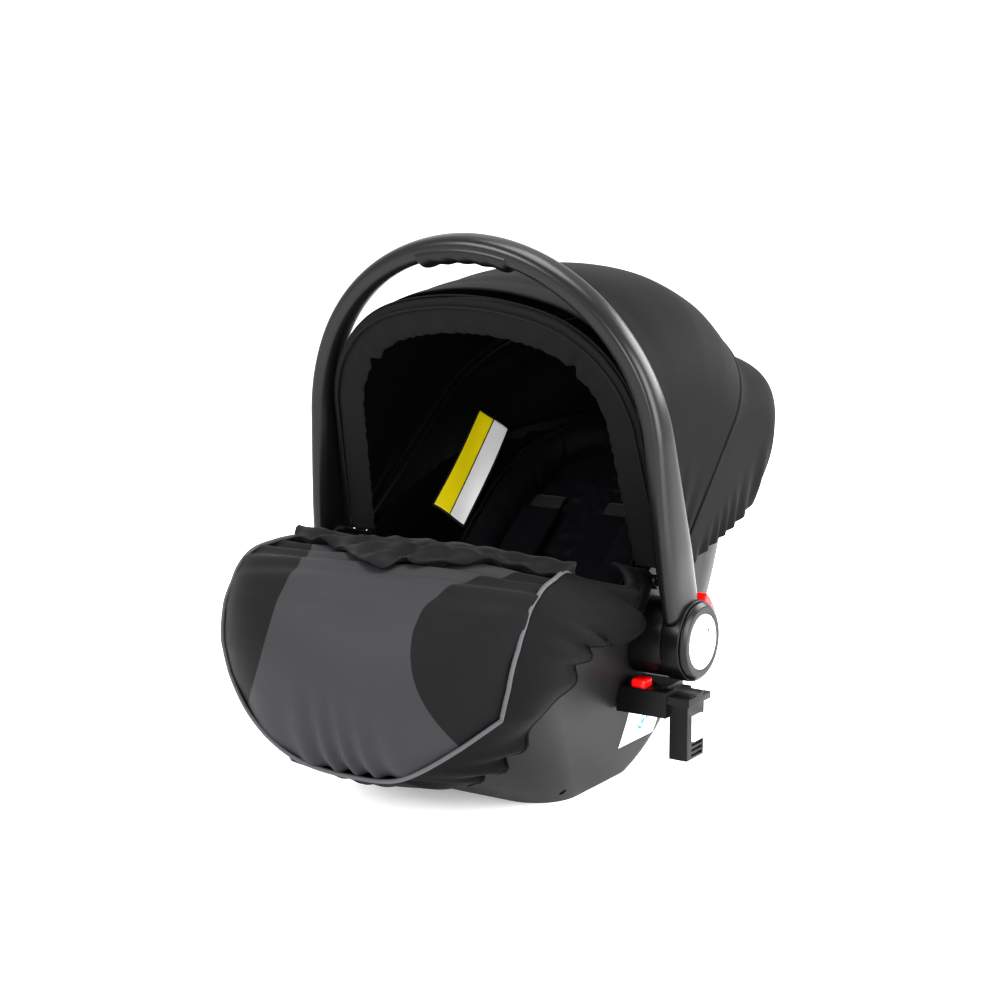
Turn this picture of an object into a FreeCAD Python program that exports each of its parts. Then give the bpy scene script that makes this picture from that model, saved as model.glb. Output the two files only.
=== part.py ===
import FreeCAD, Part
import math
import os
import re
import Sketcher
from FreeCAD import Placement, Rotation, Vector

# Infant car seat, millimetres. +Z up, the child's feet point to -Y.
# Origin: centre of the flat underside of the shell, on the floor.

doc = FreeCAD.newDocument("infant_car_seat")
sheet = doc.addObject("Spreadsheet::Sheet", "sizes")

DRIVING = {
    # moulded shell: rounded rectangles at six heights
    "floor_height": 0, "floor_half": 115, "floor_front": 90, "floor_rear": 85, "floor_front_corner": 45,
    "floor_rear_corner": 45, "heel_height": 30, "heel_half": 130, "heel_front": 138, "heel_rear": 122,
    "heel_front_corner": 60, "heel_rear_corner": 60, "lower_height": 90, "lower_half": 148,
    "lower_front": 205, "lower_rear": 165, "lower_front_corner": 80, "lower_rear_corner": 80,
    "waist_height": 165, "waist_half": 161, "waist_front": 248, "waist_rear": 203,
    "waist_front_corner": 90, "waist_rear_corner": 95, "shoulder_height": 245, "shoulder_half": 166,
    "shoulder_front": 256, "shoulder_rear": 242, "shoulder_front_corner": 95,
    "shoulder_rear_corner": 115, "head_height": 330, "head_half": 164, "head_front": 256,
    "head_rear": 312, "head_front_corner": 95, "head_rear_corner": 150, "shell_wall": 4,
    "foot_rim": 205, "rim_bend_front": -30, "rim_bend_rear": 60, "rim_bend_height": 243,
    "rim_end_back": 372, "rim_end_height": 342, "drain_hole": 3, "drain_hole_back": -78,
    "drain_hole_height": 14,
    # seat surface, side view
    "toe_back": -256, "toe_height": 186, "calf_back": -190, "calf_height": 120, "knee_back": -110,
    "knee_height": 84, "seat_back": -40, "seat_height": 72, "hip_back": 40, "hip_height": 92,
    "crown_back": 300, "crown_height": 290, "past": 1, "tub_plate": 3, "foam_thick": 20,
    "liner_thick": 8, "insert_thick": 17, "layer_gap": 0.4, "cover_drop": 2, "insert_inset": 20,
    "insert_front": -180, "insert_rear": 236, "hugger_front": 45, "hugger_rear": 226,
    "hugger_inner_half": 72, "hugger_inner_rear": 184, "hugger_height": 16, "hugger_inset": 24,
    # harness
    "rest_gap": 0.3, "end_gap": 0.5, "bar_gap": 0.4, "tail_end": 4, "tail_foot": 2, "webbing_width": 38,
    "webbing_thick": 2, "shoulder_strap_centre": 45, "shoulder_slot_back": 172, "slot_clear": 3,
    "strap_pad_thick": 9, "strap_pad_width": 52, "strap_pad_front": 72, "strap_pad_rear": 150,
    "buckle_half": 28, "buckle_front": -30, "buckle_rear": 32, "buckle_height": 20,
    "buckle_button_half": 13, "buckle_button_front": -18, "buckle_button_rear": 8, "button_clear": 0.5,
    "button_seat": 0.2, "buckle_button_depth": 9, "buckle_button_proud": 1.5, "button_travel": 3,
    "tongue_thick": 2, "tongue_reach": 14, "tongue_half": 17, "tongue_tail": 8, "lap_front": -24,
    "lap_reach": 118, "crotch_slot_back": -72, "crotch_pad_half": 30, "adjuster_strap_width": 25,
    "adjuster_strap_front": -166, "adjuster_front": -112, "adjuster_rear": -84, "adjuster_half": 20,
    "adjuster_height": 9, "adjuster_button_half": 11, "adjuster_floor": 1.5, "adjuster_lip": 5,
    "anchor_radius": 5, "anchor_half": 78, "anchor_drop": 14,
    # handle
    "hub_back": 11, "hub_height": 155, "handle_lean": 10.5, "handle_half": 203.5, "handle_rise": 374,
    "handle_corner": 192, "handle_crown": 254, "leg_lean": 3.8, "leg_depth": 31, "leg_thick": 22,
    "boss_radius": 37, "boss_face": 193.5, "boss_root": 150, "ring_radius": 39, "ring_gap": 0.8,
    "ring_relief": 5, "ring_thick": 19.5, "cap_radius": 37.5, "cap_thick": 6, "cap_gap": 0.05,
    "disc_gap": 0.2, "disc_radius": 26.5, "disc_thick": 1.6, "disc_recess": 1.2, "bolt_radius": 5,
    "bolt_head": 9, "bolt_head_thick": 4, "bolt_run": 0.1, "bolt_foot": 3, "ring_web": 3,
    "head_pocket": 12, "gear_root": 16, "gear_tip": 20, "gear_teeth": 12, "gear_thick": 16,
    "gear_clear": 0.4, "gear_travel": 6, "gear_pocket": 14.5, "gear_bore": 6.5, "spring_radius": 11,
    "spring_wall": 2.5, "spring_shut": 2, "spring_gap": 0.1, "release_inner": 34, "release_outer": 48,
    "release_thick": 13, "release_start": -12, "release_end": 48, "release_travel": 3.5,
    "release_side_clear": 5, "release_gap": 0.4, "release_open": 6, "release_offset": 3,
    "grip_tube": 13, "grip_drop": 4.5, "grip_half": 62, "grip_gap": 0.05,
    # stroller adapter below each hub
    "adapter_front": -30, "adapter_rear": 22, "adapter_low": 87, "adapter_top": 112,
    "adapter_face": 203, "wing_reach": 226, "wing_thick": 8, "wing_drop": 4, "wing_front": -27,
    "wing_rear": 17, "stub_thick": 19, "stub_front": -22, "stub_rear": 11, "stub_low": 46,
    "stub_tooth_depth": 2.5, "stub_tooth_pitch": 5, "latch_front": -13, "latch_rear": 8,
    "latch_low": 63, "latch_top": 88, "latch_proud": 2.5, "latch_depth": 9, "latch_travel": 4,
    "lever_front": -27, "lever_rear": -9, "lever_reach": 178, "lever_root": 163, "lever_low": 105,
    "lever_top": 120,
    # canopy
    "canopy_back": 5, "canopy_height": 208, "canopy_half": 187, "canopy_corner": 152,
    "canopy_crown": 246, "canopy_lean": 4, "front_bow_rise": 274, "rear_bow_rise": 318,
    "front_bow_angle": -14, "rear_bow_angle": 50, "bow_radius": 2.4, "canopy_cloth": 3, "hem_turn": 7,
    "bow_gap": 0.6, "bow_pitch": 5.1, "bow_eye": 9, "eye_thick": 3, "eye_lap": 2, "eye_gap": 0.2,
    "cloth_gap": 0.3, "clip_pin": 3, "pin_run": 0.1, "cloth_turn": 2.5,
    "cloth_hole": 15, "tip_angle": 64, "tip_rise": 337, "skirt_angle": 79, "skirt_rise": 278,
    "cloth_clear": 0.8,
    # footmuff
    "shin_height": 40, "shin_half": 138, "shin_front": 222, "shin_rear": 150, "shin_front_corner": 85,
    "shin_rear_corner": 60, "calves_height": 100, "calves_half": 164, "calves_front": 266,
    "calves_rear": 150, "calves_front_corner": 90, "calves_rear_corner": 60, "knees_height": 175,
    "knees_half": 172, "knees_front": 275, "knees_rear": 150, "knees_front_corner": 90,
    "knees_rear_corner": 60, "thighs_height": 241, "thighs_half": 173, "thighs_front": 262,
    "thighs_rear": 150, "thighs_front_corner": 90, "thighs_rear_corner": 60, "muff_gap": 1,
    "muff_thick": 9, "muff_top": 240, "muff_low": 44, "muff_collar": -118, "muff_crest": -212,
    "muff_nose": -316, "muff_brow": 204, "muff_end": -31, "muff_end_low": 160, "muff_end_top": 216,
    "muff_side": -100, "muff_side_low": 168, "muff_hip": -155, "muff_hip_low": 130, "muff_toe": -196,
    "muff_toe_low": 60,
    # labels
    "tag_length": 110, "tag_width": 44, "tag_thick": 0.8, "tag_across": -133, "tag_back": 136,
    "tag_height": 265, "tag_slope": 42, "tag_yaw": 18, "label_front": 4, "label_rear": 72,
    "label_low": 38, "label_top": 82, "label_thick": 0.4, "label_gap": 0.1,
}
for row, (alias, value) in enumerate(DRIVING.items(), start=1):
    sheet.set("A%d" % row, alias)
    sheet.set("B%d" % row, str(value))
    sheet.setAlias("B%d" % row, alias)
doc.recompute()

NAMES = re.compile(r"\b(" + "|".join(sorted(DRIVING, key=len, reverse=True)) + r")\b")
nodes = []      # sub-parts that are written, in order


def cells(text):
    """An expression in sheet names becomes one that any object can hold."""
    return NAMES.sub(r"sizes.\1", str(text))


def value(text):
    """The number that an expression in sheet names has now."""
    return float(sheet.evalExpression(cells(text).replace("sizes.", "")))


def bind(thing, **expressions):
    """Bind properties to expressions; a double underscore stands for a dot."""
    for name, text in expressions.items():
        thing.setExpression(name.replace("__", "."), cells(text))
    return thing


def keep(thing, label):
    """Make an object a sub-part that is written under this label."""
    thing.Label = label
    nodes.append(thing)
    return thing


def place(thing, xpos="0", ypos="0", zpos="0"):
    return bind(thing, Placement__Base__x=xpos, Placement__Base__y=ypos, Placement__Base__z=zpos)


def box(name, xlo, xhi, ylo, yhi, zlo, zhi):
    block = doc.addObject("Part::Box", name)
    bind(block, Length="(%s) - (%s)" % (xhi, xlo), Width="(%s) - (%s)" % (yhi, ylo),
         Height="(%s) - (%s)" % (zhi, zlo))
    return place(block, xlo, ylo, zlo)


def rod(name, xlo, xhi, ypos, zpos, radius):
    """Cylinder along X."""
    bar = doc.addObject("Part::Cylinder", name)
    bar.Placement = Placement(Vector(), Rotation(Vector(0, 1, 0), 90))
    bind(bar, Radius=radius, Height="(%s) - (%s)" % (xhi, xlo))
    return place(bar, xlo, ypos, zpos)


def cut(name, base, *tools):
    """Base less each tool in turn."""
    for step, tool in enumerate(tools):
        last = step == len(tools) - 1
        result = doc.addObject("Part::Cut", name if last else "%s_step%d" % (name, step))
        result.Base = base
        result.Tool = tool
        base = result
    return base


def common(name, *shapes):
    result = doc.addObject("Part::MultiCommon", name)
    result.Shapes = list(shapes)
    return result


def fuse(name, *shapes):
    result = doc.addObject("Part::MultiFuse", name)
    result.Shapes = list(shapes)
    return result


def mirrored(right, label):
    """The left-hand twin of a right-hand piece."""
    twin = doc.addObject("Part::Mirroring", label)
    twin.Source = right
    twin.Base = (0, 0, 0)
    twin.Normal = (1, 0, 0)
    return keep(twin, label)


def attach(body, name, role):
    sketch = body.newObject("Sketcher::SketchObject", name)
    plane = [part for part in body.Origin.OriginFeatures if part.Role == role][0]
    sketch.AttachmentSupport = [(plane, "")]
    sketch.MapMode = "FlatFace"
    return sketch


def pin(sketch, kind, element, point, text):
    """Hold a sketch point at a bound distance from the sketch's origin."""
    number = sketch.addConstraint(Sketcher.Constraint(kind, -1, 1, element, point, value(text)))
    sketch.setExpression("Constraints[%d]" % number, cells(text))


def polygon(body, name, role, corners):
    """Closed outline whose corners are pairs of expressions."""
    sketch = attach(body, name, role)
    points = [Vector(value(across), value(up), 0) for across, up in corners]
    count = len(points)
    for index in range(count):
        sketch.addGeometry(Part.LineSegment(points[index], points[(index + 1) % count]))
    for index in range(count):
        sketch.addConstraint(Sketcher.Constraint("Coincident", index, 2, (index + 1) % count, 1))
    for index, (across, up) in enumerate(corners):
        pin(sketch, "DistanceX", index, 1, across)
        pin(sketch, "DistanceY", index, 1, up)
    return sketch


def prism(name, corners, half):
    """Side-view outline (y, z) carried to +X and -X by half its width."""
    body = doc.addObject("PartDesign::Body", name)
    pad = body.newObject("PartDesign::Pad", name + "_pad")
    pad.Profile = polygon(body, name + "_outline", "YZ_Plane", corners)
    pad.Midplane = True
    bind(pad, Length="2 * (%s)" % half)
    return body


LEVELS = ["floor", "heel", "lower", "waist", "shoulder", "head"]


def section(body, name, level, offset, height):
    """One rounded rectangle of the shell, grown by offset, at a height."""
    sketch = attach(body, name, "XY_Plane")
    bind(sketch, AttachmentOffset__Base__z=height)
    half, front, rear = (value("%s_%s + (%s)" % (level, side, offset))
                         for side in ("half", "front", "rear"))
    nose, tail = (value("%s_%s_corner + (%s)" % (level, side, offset)) for side in ("front", "rear"))
    sides = [((half, nose - front), (half, rear - tail)), ((half - tail, rear), (tail - half, rear)),
             ((-half, rear - tail), (-half, nose - front)), ((nose - half, -front), (half - nose, -front))]
    for start, end in sides:
        sketch.addGeometry(Part.LineSegment(Vector(*start, 0), Vector(*end, 0)))
    centres = [(half - tail, rear - tail, tail), (tail - half, rear - tail, tail),
               (nose - half, nose - front, nose), (half - nose, nose - front, nose)]
    for quarter, (xpos, ypos, radius) in enumerate(centres):
        circle = Part.Circle(Vector(xpos, ypos, 0), Vector(0, 0, 1), radius)
        sketch.addGeometry(Part.ArcOfCircle(circle, quarter * math.pi / 2, (quarter + 1) * math.pi / 2))
    for quarter in range(4):
        arc = 4 + quarter
        sketch.addConstraint(Sketcher.Constraint("Tangent", quarter, 2, arc, 1))
        sketch.addConstraint(Sketcher.Constraint("Tangent", arc, 2, (quarter + 1) % 4, 1))
    for line, kind in ((0, "Vertical"), (1, "Horizontal"), (2, "Vertical"), (3, "Horizontal")):
        sketch.addConstraint(Sketcher.Constraint(kind, line))
    sketch.addConstraint(Sketcher.Constraint("Equal", 4, 5))
    sketch.addConstraint(Sketcher.Constraint("Equal", 6, 7))
    pin(sketch, "DistanceX", 0, 1, "%s_half + (%s)" % (level, offset))
    pin(sketch, "DistanceX", 2, 1, "-%s_half - (%s)" % (level, offset))
    pin(sketch, "DistanceY", 1, 1, "%s_rear + (%s)" % (level, offset))
    pin(sketch, "DistanceY", 3, 1, "-%s_front - (%s)" % (level, offset))
    for arc, side in ((4, "rear"), (6, "front")):
        text = "%s_%s_corner + (%s)" % (level, side, offset)
        number = sketch.addConstraint(Sketcher.Constraint("Radius", arc, value(text)))
        sketch.setExpression("Constraints[%d]" % number, cells(text))
    return sketch


def hull(name, offset, floor_lift="0", levels=LEVELS):
    """The shell's outer form, grown (+) or shrunk (-) by offset; its bottom lifted."""
    body = doc.addObject("PartDesign::Body", name)
    loft = body.newObject("PartDesign::AdditiveLoft", name + "_loft")
    sections = []
    for level in levels:
        height = "%s_height" % level
        if level == "floor":
            height = "floor_height + (%s)" % floor_lift
        if level == "head":
            height = "head_height + past"
        sections.append(section(body, "%s_%s" % (name, level), level, offset, height))
    loft.Profile = sections[0]
    loft.Sections = sections[1:]
    return body


SEAT_LINE = ["toe", "calf", "knee", "seat", "hip", "crown"]


def strip(name, low, high, half, front=None, rear=None):
    """Layer that follows the seat surface, from low to high above it."""
    under = [("%s_back" % spot, "%s_height + (%s)" % (spot, low)) for spot in SEAT_LINE]
    over = [("%s_back" % spot, "%s_height + (%s)" % (spot, high)) for spot in reversed(SEAT_LINE)]
    layer = prism(name, under + over, half)
    if front is None:
        return layer
    window = box(name + "_window", "-(%s) - past" % half, "(%s) + past" % half, front, rear,
                 "0", "head_height * 2")
    return common(name + "_part", layer, window)


def above(name, low, half="head_half * 2"):
    """Everything above the seat surface lifted by low."""
    under = [("%s_back" % spot, "%s_height + (%s)" % (spot, low)) for spot in SEAT_LINE]
    ends = [("crown_back * 2", "crown_height + (%s)" % low), ("crown_back * 2", "head_height * 3"),
            ("toe_back * 2", "head_height * 3"), ("toe_back * 2", "toe_height + (%s)" % low)]
    return prism(name, under + ends, half)


def back_height(back):
    """Height of the straight backrest line at a distance back."""
    slope = "(crown_height - hip_height) / (crown_back - hip_back)"
    return "(hip_height + ((%s) - hip_back) * %s)" % (back, slope)


# ---- shell, tub, foam and covers

RIM = [("rim_bend_front", "foot_rim"), ("rim_bend_rear", "rim_bend_height"),
       ("rim_end_back", "rim_end_height")]


def above_rim(name, drop):
    """Everything above the shell's rim line, lowered by drop."""
    line = [("-shoulder_front * 2", "foot_rim - (%s)" % drop)]
    line += [(back, "%s - (%s)" % (height, drop)) for back, height in RIM]
    line += [("rim_end_back", "head_height * 2"), ("-shoulder_front * 2", "head_height * 2")]
    return prism(name, line, "head_half * 2")


shell_form = hull("shell_form", "0")
shell_hollow = hull("shell_hollow", "-shell_wall", "shell_wall")
drain = rod("drain", "-floor_half * 2", "floor_half * 2", "drain_hole_back", "drain_hole_height",
            "drain_hole")
seat_shell = keep(cut("seat_shell", shell_form, shell_hollow, above_rim("rim_cut", "0"), drain),
                  "seat_shell")

# heights of the layers above the seat surface
FOAM_LOW = "(tub_plate + layer_gap)"
LINER_LOW = "(tub_plate + foam_thick + 2 * layer_gap)"
INSERT_LOW = "(tub_plate + foam_thick + liner_thick + 3 * layer_gap)"
TOP = "(tub_plate + foam_thick + liner_thick + insert_thick + 4 * layer_gap)"

slots = []
for side, sign in (("right", "1"), ("left", "-1")):
    middle = "%s * shoulder_strap_centre" % sign
    slots.append(box("shoulder_slot_" + side, "%s - webbing_width / 2 - slot_clear" % middle,
                     "%s + webbing_width / 2 + slot_clear" % middle, "shoulder_slot_back - slot_clear",
                     "shoulder_slot_back + webbing_thick + slot_clear", "seat_height", "head_height"))
slots.append(box("crotch_slot", "-webbing_width / 2 - slot_clear", "webbing_width / 2 + slot_clear",
                 "crotch_slot_back - webbing_thick - slot_clear", "crotch_slot_back + slot_clear",
                 "seat_height / 2", "head_height"))
slot_set = fuse("slot_set", *slots)

tub_room = hull("tub_room", "-shell_wall - layer_gap", "shell_wall + layer_gap")
cover_room = hull("cover_room", "-shell_wall - layer_gap - liner_thick", "shell_wall + layer_gap")
insert_room = hull("insert_room", "-shell_wall - insert_inset", "shell_wall + layer_gap")
hugger_room = hull("hugger_room", "-shell_wall - hugger_inset", "shell_wall + layer_gap")
rim_line = above_rim("rim_line", "cover_drop")

tub_layer = common("tub_layer", strip("tub_strip", "0", "tub_plate", "head_half * 2"), tub_room)
seat_tub = keep(cut("seat_tub", tub_layer, slot_set, rim_line), "seat_tub")

foam_strip = strip("foam_strip", FOAM_LOW, FOAM_LOW + " + foam_thick", "head_half * 2")
foam_layer = common("foam_layer", foam_strip, tub_room)
energy_foam = keep(cut("energy_foam", foam_layer, slot_set, rim_line), "energy_foam")

liner_outer = common("liner_outer", above("liner_base", LINER_LOW), tub_room)
liner_inner = common("liner_inner", above("liner_top", LINER_LOW + " + liner_thick"), cover_room)
seat_liner = keep(cut("seat_liner", liner_outer, liner_inner, slot_set, rim_line), "seat_liner")

insert_strip = strip("insert_strip", INSERT_LOW, INSERT_LOW + " + insert_thick", "head_half", "insert_front",
                     "insert_rear")
insert_layer = common("insert_layer", insert_strip, insert_room)
seat_insert = keep(cut("seat_insert", insert_layer, slot_set), "seat_insert")

hugger_strip = strip("hugger_strip", TOP, TOP + " + hugger_height", "head_half", "hugger_front",
                     "hugger_rear")
hugger_layer = common("hugger_layer", hugger_strip, hugger_room)
hugger_bay = box("hugger_bay", "-hugger_inner_half", "hugger_inner_half",
                 "hugger_front - hugger_height", "hugger_inner_rear", "0", "head_height * 2")
head_hugger = keep(cut("head_hugger", hugger_layer, hugger_bay), "head_hugger")

# ---- harness: straps lie on the insert, pass the slots and end on a bar below the tub


def webbing(name, low, thick, xlo, xhi, ylo, yhi):
    layer = strip(name + "_layer", low, "%s + (%s)" % (low, thick), "head_half")
    window = box(name + "_window", xlo, xhi, ylo, yhi, "0", "head_height * 2")
    return common(name, layer, window)


STRAP_LOW = TOP + " + rest_gap"
PAD_LOW = STRAP_LOW + " + webbing_thick + rest_gap"
strap_inner = "shoulder_strap_centre - webbing_width / 2"
strap_outer = "shoulder_strap_centre + webbing_width / 2"
strap_run = webbing("strap_run", STRAP_LOW, "webbing_thick", strap_inner, strap_outer,
                    "buckle_rear + tongue_reach", "shoulder_slot_back + webbing_thick")
strap_tail = box("strap_tail", strap_inner, strap_outer, "shoulder_slot_back",
                 "shoulder_slot_back + webbing_thick",
                 back_height("shoulder_slot_back") + " - anchor_drop + anchor_radius + bar_gap",
                 back_height("shoulder_slot_back") + " + %s + webbing_thick" % STRAP_LOW)
strap_right = keep(fuse("shoulder_strap_right", strap_run, strap_tail), "shoulder_strap_right")
mirrored(strap_right, "shoulder_strap_left")

pad_right = keep(webbing("shoulder_pad_right", PAD_LOW, "strap_pad_thick",
                         "shoulder_strap_centre - strap_pad_width / 2",
                         "shoulder_strap_centre + strap_pad_width / 2",
                         "strap_pad_front", "strap_pad_rear"), "shoulder_pad_right")
mirrored(pad_right, "shoulder_pad_left")

lap_right = keep(webbing("lap_strap_right", STRAP_LOW, "webbing_thick", "buckle_half + past", "lap_reach",
                         "lap_front", "lap_front + webbing_width"), "lap_strap_right")
mirrored(lap_right, "lap_strap_left")

anchor = rod("harness_anchor", "-anchor_half", "anchor_half", "shoulder_slot_back + webbing_thick / 2",
             back_height("shoulder_slot_back") + " - anchor_drop", "anchor_radius")
keep(anchor, "harness_anchor")

crotch_run = webbing("crotch_run", STRAP_LOW, "webbing_thick", "-webbing_width / 2", "webbing_width / 2",
                     "crotch_slot_back - webbing_thick", "buckle_front - end_gap")
crotch_tail = box("crotch_tail", "-webbing_width / 2", "webbing_width / 2",
                  "crotch_slot_back - webbing_thick", "crotch_slot_back", "seat_height + tail_foot", "knee_height + %s - tail_end" % STRAP_LOW)
keep(fuse("crotch_strap", crotch_run, crotch_tail), "crotch_strap")
keep(webbing("crotch_pad", PAD_LOW, "strap_pad_thick", "-crotch_pad_half", "crotch_pad_half",
             "crotch_slot_back + tail_foot", "buckle_front - past"), "crotch_pad")

buckle_block = webbing("buckle_block", STRAP_LOW, "buckle_height", "-buckle_half", "buckle_half",
                       "buckle_front", "buckle_rear")
buckle_top = "%s + buckle_height" % STRAP_LOW
button_bay = webbing("button_bay", "%s - buckle_button_depth - button_travel" % buckle_top, "buckle_height",
                     "-buckle_button_half - button_clear", "buckle_button_half + button_clear",
                     "buckle_button_front - button_clear", "buckle_button_rear + button_clear")
buckle_body = keep(cut("buckle_body", buckle_block, button_bay), "buckle_body")
keep(webbing("buckle_button", "%s - buckle_button_depth + button_seat" % buckle_top,
             "buckle_button_depth + buckle_button_proud", "-buckle_button_half", "buckle_button_half",
             "buckle_button_front", "buckle_button_rear"), "buckle_button")
tongue_right = keep(webbing("tongue_right", STRAP_LOW + " + webbing_thick", "tongue_thick",
                            "shoulder_strap_centre - tongue_half", "shoulder_strap_centre + tongue_half",
                            "buckle_rear + end_gap", "buckle_rear + tongue_reach + tongue_tail"),
                    "tongue_right")
mirrored(tongue_right, "tongue_left")

keep(webbing("adjuster_strap", STRAP_LOW, "webbing_thick", "-adjuster_strap_width / 2",
             "adjuster_strap_width / 2", "adjuster_strap_front", "adjuster_front - end_gap"),
     "adjuster_strap")
adjuster_block = webbing("adjuster_block", STRAP_LOW, "adjuster_height", "-adjuster_half", "adjuster_half",
                         "adjuster_front", "adjuster_rear")
adjuster_top = "%s + adjuster_height" % STRAP_LOW
adjuster_bay = webbing("adjuster_bay", "%s - adjuster_height + adjuster_floor" % adjuster_top,
                       "adjuster_height * 2",
                       "-adjuster_button_half - button_clear", "adjuster_button_half + button_clear",
                       "adjuster_front + adjuster_lip - button_clear",
                       "adjuster_rear - adjuster_lip + button_clear")
keep(cut("adjuster_body", adjuster_block, adjuster_bay), "adjuster_body")
adjuster_button_low = "%s - adjuster_height + adjuster_floor + end_gap + button_travel" % adjuster_top
keep(webbing("adjuster_button", adjuster_button_low,
             "adjuster_height - adjuster_floor * 2 - end_gap", "-adjuster_button_half",
             "adjuster_button_half", "adjuster_front + adjuster_lip", "adjuster_rear - adjuster_lip"), "adjuster_button")

# ---- handle: an arch of tangent arcs, turned forward about the hubs


def arch_edges(half, rise, corner, crown, lean):
    """Half arch from (half, 0) to (0, rise): straight leg, corner arc, crown arc."""
    tilt = math.radians(lean)
    top = rise - crown
    # centre of the corner arc, found by stepping its height
    height = top + crown - corner
    for _ in range(60):
        across = half - (corner + height * math.sin(tilt)) / math.cos(tilt)
        height = top + math.sqrt((crown - corner) ** 2 - across ** 2)
    centre = Vector(across, 0, height)
    crown_centre = Vector(0, 0, top)
    leg_end = centre + Vector(math.cos(tilt), 0, math.sin(tilt)) * corner
    joint = crown_centre + (centre - crown_centre).normalize() * crown
    middle_angle = (math.atan2(leg_end.z - centre.z, leg_end.x - centre.x)
                    + math.atan2(joint.z - centre.z, joint.x - centre.x)) / 2
    middle = centre + Vector(math.cos(middle_angle), 0, math.sin(middle_angle)) * corner
    return leg_end, middle, joint, Vector(0, 0, rise)


def flip(point):
    return Vector(-point.x, point.y, point.z)


def arch_wire(half, rise, corner, crown, lean, foot=0):
    """Whole arch in the XZ plane, from +X over the top to -X; its legs begin at a foot height."""
    leg_end, middle, joint, top = arch_edges(half, rise, corner, crown, lean)
    start = Vector(half - foot * math.tan(math.radians(lean)), 0, foot)
    runs = [Part.LineSegment(start, leg_end), Part.Arc(leg_end, middle, joint),
            Part.Arc(joint, top, flip(joint)), Part.Arc(flip(joint), flip(middle), flip(leg_end)),
            Part.LineSegment(flip(leg_end), flip(start))]
    return Part.Wire([run.toShape() for run in runs])


HUB = Placement(Vector(0, value("hub_back"), value("hub_height")),
                Rotation(Vector(1, 0, 0), value("handle_lean")))


def arch_tube(name, half, rise, corner, crown, lean, across, along):
    """Tube of elliptical section (across in the arch's plane, along Y) on an arch."""
    path = arch_wire(value(half), value(rise), value(corner), value(crown), value(lean))
    wide, deep = value(along), value(across)
    if wide >= deep:
        rim = Part.Ellipse(Vector(0, wide, 0), Vector(deep, 0, 0), Vector(0, 0, 0))
    else:
        rim = Part.Ellipse(Vector(deep, 0, 0), Vector(0, wide, 0), Vector(0, 0, 0))
    ring = rim.toShape() if wide != deep else Part.makeCircle(wide)
    ring.translate(Vector(value(half), 0, 0))
    tube = doc.addObject("Part::Feature", name)
    tube.Shape = path.makePipeShell([Part.Wire([ring])], True, False)
    return tube


handle_tube = arch_tube("handle_tube", "handle_half", "handle_rise", "handle_corner",
                        "handle_crown", "leg_lean", "leg_thick / 2", "leg_depth / 2")


def feature(name, shape, placement=None):
    """A sub-shape that is set by the functions of Part."""
    thing = doc.addObject("Part::Feature", name)
    thing.Shape = shape
    if placement is not None:
        thing.Placement = placement
    return thing


def toothed_outline(radius_of, count):
    """Closed polygon round the X axis whose radius is a function of the corner's number."""
    corners = []
    for index in range(count):
        angle = 2 * math.pi * index / count
        radius = radius_of(index)
        corners.append(Vector(0, radius * math.cos(angle), radius * math.sin(angle)))
    return Part.makePolygon(corners + corners[:1])


def gear_prism(grow, start, length):
    """Splined plug along X: four corners to each tooth, tip and root in turn."""
    tip, root = value("gear_tip") + grow, value("gear_root") + grow
    outline = toothed_outline(lambda index: tip if index % 4 < 2 else root, int(value("gear_teeth")) * 4)
    solid = Part.Face(outline).extrude(Vector(length, 0, 0))
    solid.translate(Vector(start, 0, 0))
    return solid


def sector_prism(inner, outer, first, last, start, length):
    """Ring sector round the X axis; angles in degrees from +Y towards +Z."""
    def on(radius, angle):
        turn = math.radians(angle)
        return Vector(start, radius * math.cos(turn), radius * math.sin(turn))
    middle = (first + last) / 2
    edges = [Part.Arc(on(outer, first), on(outer, middle), on(outer, last)).toShape(),
             Part.LineSegment(on(outer, last), on(inner, last)).toShape(),
             Part.Arc(on(inner, last), on(inner, middle), on(inner, first)).toShape(),
             Part.LineSegment(on(inner, first), on(outer, first)).toShape()]
    return Part.Face(Part.Wire(edges)).extrude(Vector(length, 0, 0))


handle_tube.Placement = HUB
RING_START = "(boss_face + ring_gap)"
RING_END = "(boss_face + ring_gap + ring_thick)"
ring_start, ring_end = value(RING_START), value(RING_END)
along_hub = ("hub_back", "hub_height")
rings = [rod("ring_right", RING_START, RING_END, *along_hub, "ring_radius"),
         rod("ring_left", "-" + RING_END, "-" + RING_START, *along_hub, "ring_radius")]
bores = [rod("ring_bore_right", "boss_face", RING_END + " + past", *along_hub,
             "bolt_radius + bolt_run"),
         rod("ring_bore_left", "-%s - past" % RING_END, "-boss_face", *along_hub,
             "bolt_radius + bolt_run")]
POCKET_START = "(%s + gear_pocket - gear_travel + ring_web)" % RING_START
heads = [rod("head_pocket_right", POCKET_START, RING_END + " + past", *along_hub, "head_pocket"),
         rod("head_pocket_left", "-%s - past" % RING_END, "-" + POCKET_START, *along_hub,
             "head_pocket")]
pocket_depth = value("gear_pocket") - value("gear_travel")
past = value("past")
gear_room = gear_prism(value("gear_clear"), ring_start - past, pocket_depth + past)
release_first = value("release_start") - value("release_side_clear")
release_last = value("release_end") + value("release_side_clear")
release_start = ring_start + value("release_offset")
release_gap = value("release_gap")
release_room = sector_prism(value("release_inner") - value("release_travel") - past,
                            value("release_outer") + value("release_open"), release_first, release_last,
                            release_start - release_gap, value("release_thick") + 2 * release_gap)
rooms = gear_room.fuse(release_room)
rooms_right = feature("rooms_right", rooms, HUB)
rooms_left = doc.addObject("Part::Mirroring", "rooms_left")
rooms_left.Source = rooms_right
rooms_left.Normal = (1, 0, 0)
handle_solid = fuse("handle_solid", handle_tube, *rings)
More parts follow.
